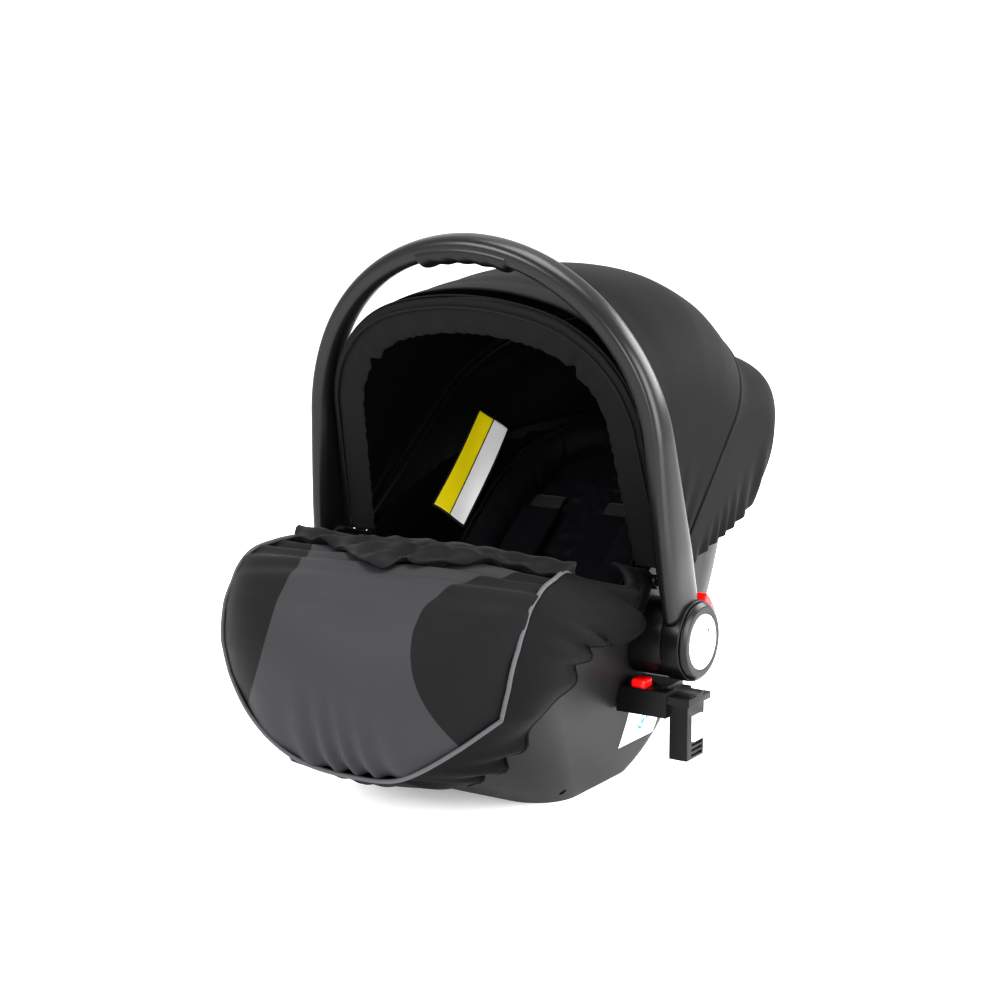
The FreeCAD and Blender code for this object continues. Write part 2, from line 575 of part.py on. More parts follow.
relief = [rod("leg_relief_right", "boss_face - leg_thick", RING_START, *along_hub,
              "ring_radius + ring_relief"),
          rod("leg_relief_left", "-" + RING_START, "leg_thick - boss_face", *along_hub,
              "ring_radius + ring_relief")]
handle_frame = keep(cut("handle_frame", handle_solid, fuse("handle_bores", *bores, *heads), *relief,
                        rooms_right, rooms_left), "handle_frame")

release_right = keep(feature("handle_button_right", sector_prism(
    value("release_inner"), value("release_outer"), value("release_start"), value("release_end"),
    release_start, value("release_thick")), HUB), "handle_button_right")
mirrored(release_right, "handle_button_left")

gear_start = ring_start + pocket_depth - value("end_gap") - value("gear_thick")
gear = gear_prism(0, gear_start, value("gear_thick"))
gear_hole = Part.makeCylinder(value("gear_bore"), value("gear_thick"), Vector(gear_start, 0, 0),
                              Vector(1, 0, 0))
gear = gear.cut(gear_hole)
gear_right = keep(feature("lock_gear_right", gear, HUB), "lock_gear_right")
mirrored(gear_right, "lock_gear_left")

cap_blank = rod("cap_blank", RING_END + " + cap_gap", RING_END + " + cap_thick", *along_hub, "cap_radius")
cap_dish = rod("cap_dish", RING_END + " + cap_thick - disc_recess", RING_END + " + cap_thick + past",
               *along_hub, "disc_radius + disc_gap")
cap_right = keep(cut("hub_cap_right", cap_blank, cap_dish), "hub_cap_right")
mirrored(cap_right, "hub_cap_left")
disc_right = keep(rod("hub_disc_right", RING_END + " + cap_thick - disc_recess",
                      RING_END + " + cap_thick - disc_recess + disc_thick", *along_hub, "disc_radius"),
                  "hub_disc_right")
mirrored(disc_right, "hub_disc_left")

# fixed bosses: a smooth pocket takes the gear when it is drawn in
BOSS_FLOOR = "(%s + gear_pocket - end_gap - gear_thick - 2 * gear_travel - spring_shut)" % RING_START
boss_blank = rod("boss_blank", "boss_root", "boss_face", *along_hub, "boss_radius")
boss_pocket = rod("boss_pocket", BOSS_FLOOR, "boss_face + past", *along_hub, "gear_tip + gear_clear")
boss_bore = rod("boss_bore", "boss_root - past", "boss_face", *along_hub, "bolt_radius")
mount_right = keep(cut("handle_mount_right", boss_blank, boss_pocket, boss_bore, shell_form),
                   "handle_mount_right")
mirrored(mount_right, "handle_mount_left")

HEAD_START = "(%s + gear_pocket - gear_travel + ring_web + rest_gap)" % RING_START
bolt_shank = rod("bolt_shank", "waist_half + bolt_foot", HEAD_START, *along_hub, "bolt_radius")
bolt_top = rod("bolt_top", HEAD_START, HEAD_START + " + bolt_head_thick", *along_hub, "bolt_head")
bolt_right = keep(fuse("pivot_bolt_right", bolt_shank, bolt_top), "pivot_bolt_right")
mirrored(bolt_right, "pivot_bolt_left")

GEAR_FACE = "(%s + gear_pocket - gear_travel - end_gap - gear_thick)" % RING_START
spring_outer = rod("spring_outer", BOSS_FLOOR + " + spring_gap", GEAR_FACE + " - spring_gap",
                   *along_hub, "spring_radius")
spring_inner = rod("spring_inner", BOSS_FLOOR, GEAR_FACE, *along_hub,
                   "spring_radius - spring_wall")
spring_right = keep(cut("lock_spring_right", spring_outer, spring_inner), "lock_spring_right")
mirrored(spring_right, "lock_spring_left")

# soft grip under the crown of the handle: the crescent of its tube that stands below the handle's own
grip_circle = Part.makeCircle(value("grip_tube"), Vector(value("handle_half - grip_drop"), 0, 0))
handle_oval = Part.Ellipse(Vector(0, value("leg_depth / 2 + grip_gap"), 0),
                           Vector(value("leg_thick / 2 + grip_gap"), 0, 0), Vector(0, 0, 0)).toShape()
handle_oval.translate(Vector(value("handle_half"), 0, 0))
crescent = Part.Face(Part.Wire([grip_circle])).cut(Part.Face(Part.Wire([handle_oval]))).Faces[0]
grip_path = arch_wire(value("handle_half"), value("handle_rise"), value("handle_corner"),
                      value("handle_crown"), value("leg_lean"))
grip_ring = feature("grip_ring", grip_path.makePipeShell([crescent.OuterWire], True, False))
grip_window = box("grip_window", "-grip_half", "grip_half", "-leg_depth", "leg_depth",
                  "handle_rise - leg_thick * 3", "handle_rise + leg_thick")
handle_grip = common("handle_grip", grip_ring, grip_window)
handle_grip.Placement = HUB
keep(handle_grip, "handle_grip")

# ---- stroller adapter: bracket, wing and toothed stub, with a sprung latch and a release lever

bracket = box("bracket", "boss_root", "adapter_face", "adapter_front", "adapter_rear", "adapter_low",
              "adapter_top")
wing = box("wing", "adapter_face - past", "wing_reach", "wing_front", "wing_rear",
           "adapter_top - wing_drop - wing_thick", "adapter_top - wing_drop")
stub = box("stub", "adapter_face", "adapter_face + stub_thick", "stub_front", "stub_rear", "stub_low",
           "adapter_top - wing_drop - past")
adapter_solid = fuse("adapter_solid", bracket, wing, stub)
latch_room = box("latch_room", "adapter_face + stub_thick - latch_depth - latch_travel",
                 "adapter_face + stub_thick + past", "latch_front - button_clear",
                 "latch_rear + button_clear", "latch_low - button_clear", "latch_top + button_clear")
lever_room = box("lever_room", "lever_root - button_clear", "lever_reach + button_clear",
                 "lever_front - button_clear", "lever_rear + button_clear",
                 "lever_low - button_travel - past", "adapter_top + past")
notches = [box("stub_notch_%d" % step, "adapter_face + stub_thick - stub_tooth_depth",
               "adapter_face + stub_thick + past", "latch_front", "latch_rear",
               "stub_low + %d * stub_tooth_pitch - stub_tooth_pitch / 2" % step,
               "stub_low + %d * stub_tooth_pitch" % step) for step in (1, 2, 3)]
adapter_right = keep(cut("adapter_right", adapter_solid, latch_room, lever_room, *notches,
                         rod("boss_relief", "boss_root", "boss_face", *along_hub,
                             "ring_radius + ring_gap"),
                         rod("button_relief", "boss_face", "wing_reach + past", *along_hub,
                             "release_outer + ring_gap"),
                         shell_form), "adapter_right")
mirrored(adapter_right, "adapter_left")
latch_right = keep(box("adapter_latch_right", "adapter_face + stub_thick - latch_depth",
                       "adapter_face + stub_thick + latch_proud", "latch_front", "latch_rear", "latch_low",
                       "latch_top"), "adapter_latch_right")
mirrored(latch_right, "adapter_latch_left")
lever_right = keep(box("adapter_lever_right", "lever_root", "lever_reach", "lever_front",
                       "lever_rear", "lever_low", "lever_top"), "adapter_lever_right")
mirrored(lever_right, "adapter_lever_left")

# ---- canopy: two bows, a padded front hem, cloth between the bows and down to the head end

CANOPY = Vector(0, value("canopy_back"), value("canopy_height"))


def hoop(angle, rise, inset):
    """Arch wire at an angle from upright, drawn in from the canopy's outer line."""
    wire = arch_wire(value("canopy_half") - inset, rise - inset, value("canopy_corner") - inset,
                     value("canopy_crown") - inset, value("canopy_lean"), value("cloth_hole"))
    wire.Placement = Placement(CANOPY, Rotation(Vector(1, 0, 0), -angle))
    return wire


def hoop_band(angle, rise, inset, thick):
    """Closed outline between two arches of one hoop plane."""
    outer, inner = hoop(angle, rise, inset), hoop(angle, rise, inset + thick)
    corners = [(outer.OrderedVertexes[index].Point, inner.OrderedVertexes[index].Point)
               for index in (0, -1)]
    ends = [Part.LineSegment(first, last).toShape() for first, last in corners]
    return Part.Wire(Part.__sortEdges__(outer.Edges + inner.Edges + ends))


def canopy_rise(angle):
    """Rise of the canopy's outer line, swelling softly from the front bow to the rear bow."""
    front, rear = value("front_bow_angle"), value("rear_bow_angle")
    share = (angle - front) / (rear - front)
    swell = share * share * (3 - 2 * share)
    return value("front_bow_rise") + (value("rear_bow_rise") - value("front_bow_rise")) * swell


PIVOT_AXIS = ("canopy_back", "canopy_height")


def cloth(turns):
    """Skin through arches at (angle, rise), open round the pivots."""
    bands = [hoop_band(angle, rise, 0, value("canopy_cloth")) for angle, rise in turns]
    return Part.makeLoft(bands, True, False)


def spread(first, last, steps):
    angles = [first + (last - first) * step / steps for step in range(steps + 1)]
    return [(angle, canopy_rise(angle)) for angle in angles]


def bow(label, angle, inset):
    """Wire bow with a flat eye on each pivot pin."""
    rise = canopy_rise(angle)
    tube = arch_tube(label + "_tube", "canopy_half - %f" % inset, "%f - %f" % (rise, inset),
                     "canopy_corner - %f" % inset, "canopy_crown - %f" % inset, "canopy_lean", "bow_radius",
                     "bow_radius")
    tube.Placement = Placement(CANOPY, Rotation(Vector(1, 0, 0), -angle))
    end = "canopy_half - %f" % inset
    eyes = [rod(label + "_eye_right", end + " - eye_thick / 2", end + " + eye_thick / 2",
                *PIVOT_AXIS, "bow_eye"),
            rod(label + "_eye_left", "-(%s) - eye_thick / 2" % end, "-(%s) + eye_thick / 2" % end,
                *PIVOT_AXIS, "bow_eye")]
    ends = rod(label + "_ends", "-canopy_half", "canopy_half", *PIVOT_AXIS, "bow_eye - eye_lap")
    bore = rod(label + "_bore", "-canopy_half", "canopy_half", *PIVOT_AXIS, "clip_pin + pin_run")
    return keep(cut(label, fuse(label + "_solid", cut(label + "_arch", tube, ends), *eyes), bore), label)


front_angle, rear_angle = value("front_bow_angle"), value("rear_bow_angle")
front_inset = value("canopy_cloth + bow_gap + bow_radius")
rear_inset = value("canopy_cloth + bow_gap + bow_radius + bow_pitch")
bow("canopy_front_bow", front_angle, front_inset)
bow("canopy_rear_bow", rear_angle, rear_inset)

turn = value("cloth_turn")
hem_last = front_angle + value("hem_turn")
cloth_gap = value("cloth_gap")     # degrees
keep(feature("canopy_hem", cloth(spread(front_angle - turn, hem_last - cloth_gap, 1))), "canopy_hem")
keep(feature("canopy_front_panel", cloth(spread(hem_last, rear_angle - turn, 4))), "canopy_front_panel")
seam_turns = spread(rear_angle - turn + cloth_gap, rear_angle + turn - cloth_gap, 1)
keep(feature("canopy_rear_seam", cloth(seam_turns)), "canopy_rear_seam")
rear_turns = [(rear_angle + turn, canopy_rise(rear_angle)), (value("tip_angle"), value("tip_rise")),
              (value("skirt_angle"), value("skirt_rise"))]
rear_cloth = feature("rear_cloth", cloth(rear_turns))
cloth_room = cut("cloth_room", hull("cloth_room_form", "cloth_clear"),
                 above_rim("cloth_room_rim", "-cloth_clear"))
keep(cut("canopy_rear_panel", rear_cloth, cloth_room), "canopy_rear_panel")

clip_face = "canopy_half - %f - eye_thick / 2 - eye_gap" % rear_inset
clip_base = rod("clip_base", "boss_root", clip_face, *PIVOT_AXIS, "bow_eye - eye_lap - eye_gap")
clip_shaft = rod("clip_shaft", "boss_root", "canopy_half - canopy_cloth - bow_gap", *PIVOT_AXIS, "clip_pin")
clip_right = keep(cut("canopy_clip_right", fuse("clip_solid", clip_base, clip_shaft), shell_form),
                  "canopy_clip_right")
mirrored(clip_right, "canopy_clip_left")

# ---- footmuff: closed over the foot end, open to the seat and below

muff_line = [("-shoulder_front * 2", "muff_low"), ("muff_toe", "muff_toe_low"), ("muff_hip", "muff_hip_low"),
             ("muff_side", "muff_side_low"), ("muff_end", "muff_end_low"), ("muff_end", "muff_end_top"),
             ("muff_collar", "muff_top"), ("muff_crest", "muff_top"), ("muff_nose", "muff_brow"),
             ("-shoulder_front * 2", "muff_brow")]
muff_skin = hull("muff_skin", "0", levels=["shin", "calves", "knees", "thighs"])
muff_outer = common("muff_outer", muff_skin, prism("muff_side_form", muff_line, "head_half * 2"))
muff_room_line = [("-shoulder_front * 2", "-past"), ("shoulder_front", "-past"),
                  ("shoulder_front", "muff_top - muff_thick"), ("muff_crest", "muff_top - muff_thick"),
                  ("muff_nose", "muff_brow - muff_thick"), ("-shoulder_front * 2", "muff_brow - muff_thick")]
muff_room = prism("muff_room", muff_room_line, "head_half * 2")
muff_inner = common("muff_inner", hull("muff_hollow", "muff_gap"), muff_room)
keep(cut("footmuff", muff_outer, muff_inner), "footmuff")

# ---- labels

tag = doc.addObject("Part::Box", "side_tag")
bind(tag, Length="tag_thick", Width="tag_length", Height="tag_width")
turned = Rotation(Vector(0, 0, 1), -value("tag_yaw")) * Rotation(Vector(1, 0, 0), value("tag_slope"))
corner = turned.multVec(Vector(value("tag_thick"), value("tag_length"), value("tag_width")) * 0.5)
tag_centre = Vector(value("tag_across"), value("tag_back"), value("tag_height"))
tag.Placement = Placement(tag_centre - corner, turned)
keep(tag, "side_tag")

label_layer = cut("label_layer", hull("label_skin", "label_thick + label_gap"),
                  hull("label_bed", "label_gap"))
label_window = box("label_window", "0", "head_half * 2", "label_front", "label_rear", "label_low",
                   "label_top")
keep(common("side_label", label_layer, label_window), "side_label")

doc.recompute()
for thing in doc.Objects:
    bad = [word for word in ("Invalid", "Error") if word in thing.State]
    if bad:
        raise RuntimeError("%s: %s" % (thing.Name, ", ".join(bad)))
for thing in nodes:
    shape = thing.Shape
    if shape.isNull() or not shape.isValid() or shape.Volume <= 0:
        raise RuntimeError("%s has no valid solid" % thing.Label)
os.makedirs("parts", exist_ok=True)
for thing in nodes:
    thing.Shape.exportStep(os.path.join("parts", thing.Label + ".step"))
print(len(nodes), "sub-parts written")
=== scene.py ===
import math

import bmesh
import bpy
import numpy as np
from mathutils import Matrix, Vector


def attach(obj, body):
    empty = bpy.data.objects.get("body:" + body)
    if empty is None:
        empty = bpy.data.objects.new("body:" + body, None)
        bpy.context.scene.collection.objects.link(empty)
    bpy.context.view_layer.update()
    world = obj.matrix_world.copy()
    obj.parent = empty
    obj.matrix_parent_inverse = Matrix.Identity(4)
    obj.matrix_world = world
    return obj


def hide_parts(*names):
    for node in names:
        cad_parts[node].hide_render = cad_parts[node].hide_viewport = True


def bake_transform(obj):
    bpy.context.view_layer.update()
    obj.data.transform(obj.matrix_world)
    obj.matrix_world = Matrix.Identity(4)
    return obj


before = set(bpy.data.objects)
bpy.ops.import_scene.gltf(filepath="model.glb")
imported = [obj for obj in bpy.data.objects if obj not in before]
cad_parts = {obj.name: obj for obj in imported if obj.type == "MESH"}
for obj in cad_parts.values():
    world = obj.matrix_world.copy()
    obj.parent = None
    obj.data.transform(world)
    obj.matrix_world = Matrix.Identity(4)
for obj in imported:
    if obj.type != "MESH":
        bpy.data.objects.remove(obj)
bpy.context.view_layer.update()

# shader maths as expressions


class Link:
    def __init__(self, maker, socket):
        self.maker = maker
        self.socket = socket

    def maths(self, operation, left, right):
        return self.maker.node("ShaderNodeMath", {"operation": operation}, {0: left, 1: right})

    def __add__(self, other):
        return self.maths("ADD", self, other)

    def __radd__(self, other):
        return self.maths("ADD", other, self)

    def __sub__(self, other):
        return self.maths("SUBTRACT", self, other)

    def __rsub__(self, other):
        return self.maths("SUBTRACT", other, self)

    def __mul__(self, other):
        return self.maths("MULTIPLY", self, other)

    def __rmul__(self, other):
        return self.maths("MULTIPLY", other, self)

    def __truediv__(self, other):
        return self.maths("DIVIDE", self, other)

    def __gt__(self, other):
        return self.maths("GREATER_THAN", self, other)

    def __lt__(self, other):
        return self.maths("LESS_THAN", self, other)


class Maker:
    def __init__(self, name):
        self.material = bpy.data.materials.new(name)
        self.material.use_nodes = True
        self.tree = self.material.node_tree
        self.tree.nodes.clear()
        self.cache = {}

    def node(self, kind, settings=None, values=None, out=0):
        item = self.tree.nodes.new(kind)
        for name, setting in (settings or {}).items():
            setattr(item, name, setting)
        for key, given in (values or {}).items():
            if isinstance(given, Link):
                self.tree.links.new(given.socket, item.inputs[key])
            else:
                item.inputs[key].default_value = given
        return None if out is None else Link(self, item.outputs[out])

    def coords(self, which="Object"):
        if which not in self.cache:
            self.cache[which] = self.node("ShaderNodeTexCoord", out=which)
        return self.cache[which]

    def noise(self, scale, detail=3.0, rough=0.55, where=None):
        where = where or self.coords()
        return self.node("ShaderNodeTexNoise", None, {"Vector": where, "Scale": scale, "Detail": detail,
                                                      "Roughness": rough}, "Fac")

    def axes(self, where):
        parts = self.node("ShaderNodeSeparateXYZ", None, {0: where}).socket.node
        return [Link(self, parts.outputs[index]) for index in range(3)]

    def sine(self, value):
        return self.node("ShaderNodeMath", {"operation": "SINE"}, {0: value})

    def size(self, value):
        return self.node("ShaderNodeMath", {"operation": "ABSOLUTE"}, {0: value})

    def root(self, value):
        return self.node("ShaderNodeMath", {"operation": "SQRT"}, {0: value})

    def capped(self, value):
        return self.node("ShaderNodeMath", {"operation": "MINIMUM"}, {0: value, 1: 1.0})

    def mix(self, share, first, second):
        return self.node("ShaderNodeMix", {"data_type": "RGBA"}, {0: share, 6: first, 7: second}, 2)

    def bump(self, height, strength, distance, under=None):
        values = {"Height": height, "Strength": strength, "Distance": distance}
        if under:
            values["Normal"] = under
        return self.node("ShaderNodeBump", None, values, "Normal")

    def surface(self, **sockets):
        sockets.setdefault("Specular_IOR_Level", 0.22)
        values = {name.replace("_", " "): given for name, given in sockets.items()}
        shader = self.node("ShaderNodeBsdfPrincipled", None, values, "BSDF")
        self.node("ShaderNodeOutputMaterial", None, {"Surface": shader}, None)
        return self.material


def shade(level, tint=(1, 1, 1)):
    return (level * tint[0], level * tint[1], level * tint[2], 1)


def mouldedPlastic(name, dark, light, rough, grain=1400, grainDepth=0.00004, coat=0.0, tint=(1, 1, 1.03)):
    make = Maker(name)
    cloud = make.noise(7, 4)
    speck = make.noise(grain, 2)
    colour = make.mix(cloud, shade(dark, tint), shade(light, tint))
    roughness = rough + (cloud - 0.5) * 0.12 + (speck - 0.5) * 0.05
    return make.surface(Base_Color=colour, Roughness=roughness, Coat_Weight=coat, Coat_Roughness=0.25,
                        Normal=make.bump(speck, 0.35, grainDepth))


def glossPlastic(name, colour, rough=0.25):
    make = Maker(name)
    cloud = make.noise(60, 3)
    darker = tuple(part * 0.8 for part in colour[:3]) + (1,)
    return make.surface(Base_Color=make.mix(cloud, darker, colour), Roughness=rough + (cloud - 0.5) * 0.1,
                        Coat_Weight=0.3, Coat_Roughness=0.12,
                        Normal=make.bump(make.noise(500, 2), 0.15, 0.00003))


def metal(name, level, rough):
    make = Maker(name)
    brush = make.noise(260, 3)
    return make.surface(Base_Color=make.mix(brush, shade(level * 0.8), shade(level)), Metallic=1.0,
                        Roughness=rough + (brush - 0.5) * 0.15, Normal=make.bump(brush, 0.2, 0.00003))


def weave(make, pitch, along="UV"):
    # plain weave: two crossed ripples, one thread over the other in turn
    across, up, deep = make.axes(make.coords(along))
    turn = 2 * math.pi / pitch
    if along == "UV":
        first, second = make.sine(across * turn), make.sine(up * turn)
    else:
        first, second = make.sine((across + deep) * turn), make.sine((up - deep) * turn)
    return first * second * 0.5 + 0.5


def clothMaterial(name, dark, light, pitch=0.0011, rough=0.82, tint=(1, 1, 1.06), along="UV", depth=0.00012,
                  sheen=0.25, crease=0.0, gloss=0.07):
    make = Maker(name)
    thread = weave(make, pitch, along)
    cloud = make.noise(11, 5, 0.6)
    fuzz = make.noise(900, 2)
    share = cloud * 0.6 + thread * 0.25 + fuzz * 0.15
    colour = make.mix(share, shade(dark, tint), shade(light, tint))
    under = None
    if crease:
        soft = make.noise(28, 4, 0.5)
        under = make.bump(soft, 0.5, crease)
    return make.surface(Base_Color=colour, Roughness=rough + (cloud - 0.5) * 0.12, Sheen_Weight=sheen * 0.4,
                        Sheen_Roughness=0.45, Specular_IOR_Level=gloss,
                        Normal=make.bump(thread + fuzz * 0.6, 0.5, depth, under))


def webbingMaterial(name):
    make = Maker(name)
    across, up, deep = make.axes(make.coords())
    rib = make.sine((up + deep) * (2 * math.pi / 0.0021)) * 0.5 + 0.5
    edge = make.noise(420, 3)
    share = rib * 0.6 + edge * 0.4
    return make.surface(Base_Color=make.mix(share, shade(0.006), shade(0.026)), Roughness=0.5 + edge * 0.1,
                        Sheen_Weight=0.08, Normal=make.bump(share, 0.6, 0.0003))


finish = {
    "shell": mouldedPlastic("shellPlastic", 0.009, 0.014, 0.42, grain=900, grainDepth=0.00005),
    "handle": mouldedPlastic("handlePlastic", 0.007, 0.011, 0.30, grain=1500, grainDepth=0.00002, coat=0.12),
    "black": mouldedPlastic("blackPlastic", 0.0045, 0.0075, 0.32, coat=0.06),
    "bracket": mouldedPlastic("bracketPlastic", 0.0045, 0.008, 0.40),
    "red": glossPlastic("redPlastic", (0.72, 0.012, 0.010, 1)),
    "white": glossPlastic("whitePlastic", (0.80, 0.81, 0.82, 1), 0.35),
    "steel": metal("zincSteel", 0.62, 0.35),
    "wire": mouldedPlastic("coatedWire", 0.008, 0.012, 0.45),
    "foam": mouldedPlastic("beadFoam", 0.45, 0.6, 0.8, grain=300, grainDepth=0.0004),
    "canopy": clothMaterial("canopyCloth", 0.0050, 0.0085, pitch=0.0009, rough=0.66, depth=0.00006,
                            sheen=0.06),
    "hem": clothMaterial("hemCloth", 0.0075, 0.0125, pitch=0.0009, rough=0.62, depth=0.00006, sheen=0.08,
                         crease=0.0012),
    "inside": clothMaterial("linerCloth", 0.0030, 0.0062, tint=(0.95, 0.97, 1.35), rough=0.8, along="Object",
                            sheen=0.04),
    "pad": clothMaterial("padCloth", 0.0042, 0.0085, tint=(0.97, 0.98, 1.22), rough=0.62, along="Object",
                         sheen=0.06, crease=0.0018),
    "gusset": clothMaterial("gussetCloth", 0.0048, 0.0085, rough=0.72, pitch=0.0010, sheen=0.06,
                            crease=0.001),
    "muffCollar": clothMaterial("collarCloth", 0.007, 0.013, rough=0.5, pitch=0.0012, sheen=0.1,
                                crease=0.0012),
    "piping": clothMaterial("pipingCloth", 0.05, 0.085, pitch=0.0012, rough=0.45, sheen=0.1, along="Object"),
    "darkPiping": clothMaterial("darkPipingCloth", 0.008, 0.015, pitch=0.0012, rough=0.5, sheen=0.08,
                                along="Object"),
    "webbing": webbingMaterial("strapWebbing"),
}
print("materials made")

# mesh helpers


def newPiece(name, verts, faces, material, uvs=None, smooth=True):
    mesh = bpy.data.meshes.new(name)
    mesh.from_pydata([tuple(map(float, point)) for point in verts], [], faces)
    if uvs is not None:
        layer = mesh.uv_layers.new(name="UVMap")
        for loop in mesh.loops:
            layer.data[loop.index].uv = uvs[loop.vertex_index]
    mesh.validate()
    piece = bpy.data.objects.new(name, mesh)
    bpy.context.scene.collection.objects.link(piece)
    if material is not None:
        mesh.materials.append(material)
    for face in mesh.polygons:
        face.use_smooth = smooth
    return piece


def gridFaces(rows, columns, closeAcross=False, closeAlong=False):
    faces = []
    for row in range(rows if closeAlong else rows - 1):
        below = (row + 1) % rows
        for column in range(columns if closeAcross else columns - 1):
            right = (column + 1) % columns
            faces.append((row * columns + column, row * columns + right, below * columns + right,
                          below * columns + column))
    return faces


def gridPiece(name, points, material, closeAcross=False, closeAlong=False, caps=False):
    # points[row][column]; UVs are distances over the surface in metres
    points = np.asarray(points, float)
    rows, columns = points.shape[:2]
    acrossStep = np.linalg.norm(np.diff(points, axis=1), axis=2)
    alongStep = np.linalg.norm(np.diff(points, axis=0), axis=2)
    across = np.concatenate([[0], np.cumsum(acrossStep.mean(axis=0))])
    along = np.concatenate([[0], np.cumsum(alongStep.mean(axis=1))])
    uvs = [(across[column], along[row]) for row in range(rows) for column in range(columns)]
    faces = gridFaces(rows, columns, closeAcross, closeAlong)
    if caps:
        faces.append(tuple(range(columns))[::-1])
        faces.append(tuple((rows - 1) * columns + column for column in range(columns)))
    return newPiece(name, points.reshape(-1, 3), faces, material, uvs)


def settle(piece):
    # modifiers become plain mesh
    bpy.context.view_layer.update()
    shown = piece.evaluated_get(bpy.context.evaluated_depsgraph_get())
    mesh = bpy.data.meshes.new_from_object(shown)
    piece.modifiers.clear()
    piece.data = mesh
    return piece


def outward(piece):
    mesh = bmesh.new()
    mesh.from_mesh(piece.data)
    bmesh.ops.remove_doubles(mesh, verts=mesh.verts, dist=1e-6)
    bmesh.ops.recalc_face_normals(mesh, faces=mesh.faces)
    mesh.to_mesh(piece.data)
    mesh.free()
    return piece


def thicken(piece, thickness, offset=-1.0):
    wall = piece.modifiers.new("wall", "SOLIDIFY")
    wall.thickness = thickness
    wall.offset = offset
    return settle(piece)


def fullTurn(steps):
    return np.linspace(0, 2 * math.pi, steps, endpoint=False)


def rounded(value, power):
    # keeps the sign: squares off a sine or cosine
    return math.copysign(abs(value) ** power, value)


def unit(vector):
    return vector / np.maximum(np.linalg.norm(vector, axis=-1, keepdims=True), 1e-12)


def spline(points, samples):
    # Catmull-Rom through points, sampled at fractions of its length
    points = np.asarray(points, float)
    ends = np.vstack([2 * points[0] - points[1], points, 2 * points[-1] - points[-2]])
    fine = []
    for index in range(1, len(ends) - 2):
        first, second, third, fourth = ends[index - 1:index + 3]
        for step in np.linspace(0, 1, 24, endpoint=False):
            fine.append(0.5 * (2 * second + (third - first) * step
                               + (2 * first - 5 * second + 4 * third - fourth) * step ** 2
                               + (3 * second - first - 3 * third + fourth) * step ** 3))
    fine = np.array(fine + [points[-1]])
    length = np.concatenate([[0], np.cumsum(np.linalg.norm(np.diff(fine, axis=0), axis=1))])
    wanted = np.asarray(samples) * length[-1]
    return np.stack([np.interp(wanted, length, fine[:, axis]) for axis in range(fine.shape[1])], axis=1)


def tubeAlong(name, path, radius, material, sides=12, closed=False, flat=1.0, up=(0, 0, 1)):
    # round or flattened tube on a path; radius may be a list
    path = np.asarray(path, float)
    if closed:
        ahead = np.roll(path, -1, axis=0) - np.roll(path, 1, axis=0)
    else:
        ahead = np.gradient(path, axis=0)
    ahead = unit(ahead)
    side = unit(np.cross(ahead, np.array(up, float)))
    top = np.cross(side, ahead)
    radii = np.broadcast_to(np.asarray(radius, float), (len(path),))
    rings = []
    for index in range(len(path)):
        turn = fullTurn(sides)
        ring = (path[index] + np.outer(np.cos(turn), side[index]) * radii[index]
                + np.outer(np.sin(turn), top[index]) * radii[index] * flat)
        rings.append(ring)
    piece = gridPiece(name, rings, material, closeAcross=True, closeAlong=closed, caps=not closed)
    return outward(piece)


def roundedRun(points, radius, steps=5):
    # polyline whose inner corners are rounded, for turned profiles
    points = [np.array(point, float) for point in points]
    out = [points[0]]
    for index in range(1, len(points) - 1):
        before, here, after = points[index - 1:index + 2]
        reach = min(radius, np.linalg.norm(before - here) * 0.49, np.linalg.norm(after - here) * 0.49)
        start = here + unit(before - here) * reach
        end = here + unit(after - here) * reach
        for step in np.linspace(0, 1, steps):
            out.append((1 - step) ** 2 * start + 2 * step * (1 - step) * here + step ** 2 * end)
    out.append(points[-1])
    return out


def nodeCopy(node, name, material):
    mesh = bpy.data.objects[node].data.copy()
    mesh.name = name
    piece = bpy.data.objects.new(name, mesh)
    bpy.context.scene.collection.objects.link(piece)
    mesh.materials.clear()
    mesh.materials.append(material)
    work = bmesh.new()
    work.from_mesh(mesh)
    bmesh.ops.remove_doubles(work, verts=work.verts, dist=2e-6)
    bmesh.ops.dissolve_limit(work, angle_limit=math.radians(3), verts=work.verts, edges=work.edges)
    work.to_mesh(mesh)
    work.free()
    return piece


def soften(node, name, material, width=0.0008, segments=3):
    # a hard piece with its edges rounded as a moulding's are
    piece = nodeCopy(node, name, material)
    bevel = piece.modifiers.new("round", "BEVEL")
    bevel.width = width
    bevel.segments = segments
    bevel.limit_method = "ANGLE"
    bevel.angle_limit = math.radians(30)
    bevel.harden_normals = False
    for face in piece.data.polygons:
        face.use_smooth = True
    settle(piece)
    sharpen(piece, 35)
    return piece


def sharpen(piece, degrees):
    piece.data.set_sharp_from_angle(angle=math.radians(degrees))


def hold(piece, body, *nodes, finishSlot=None):
    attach(piece, body)
    if nodes:
        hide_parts(*nodes)
    return piece


# CAD nodes that stay, with better finishes
nodeFinish = {"seat_shell": "shell", "seat_tub": "black", "energy_foam": "foam", "harness_anchor": "steel",
              "canopy_front_bow": "wire", "canopy_rear_bow": "wire", "pivot_bolt_right": "steel",
              "pivot_bolt_left": "steel", "lock_gear_right": "black", "lock_gear_left": "black",
              "lock_spring_right": "steel", "lock_spring_left": "steel", "canopy_clip_right": "black",
              "canopy_clip_left": "black"}
for node, look in nodeFinish.items():
    thing = bpy.data.objects[node]
    for spot in thing.material_slots:
        spot.material = finish[look]
    if not thing.material_slots:
        thing.data.materials.append(finish[look])
print("kept nodes finished")

# arches: straight leaning leg, corner arc, crown arc


def ease(value):
    value = min(max(value, 0), 1)
    return value * value * (3 - 2 * value)


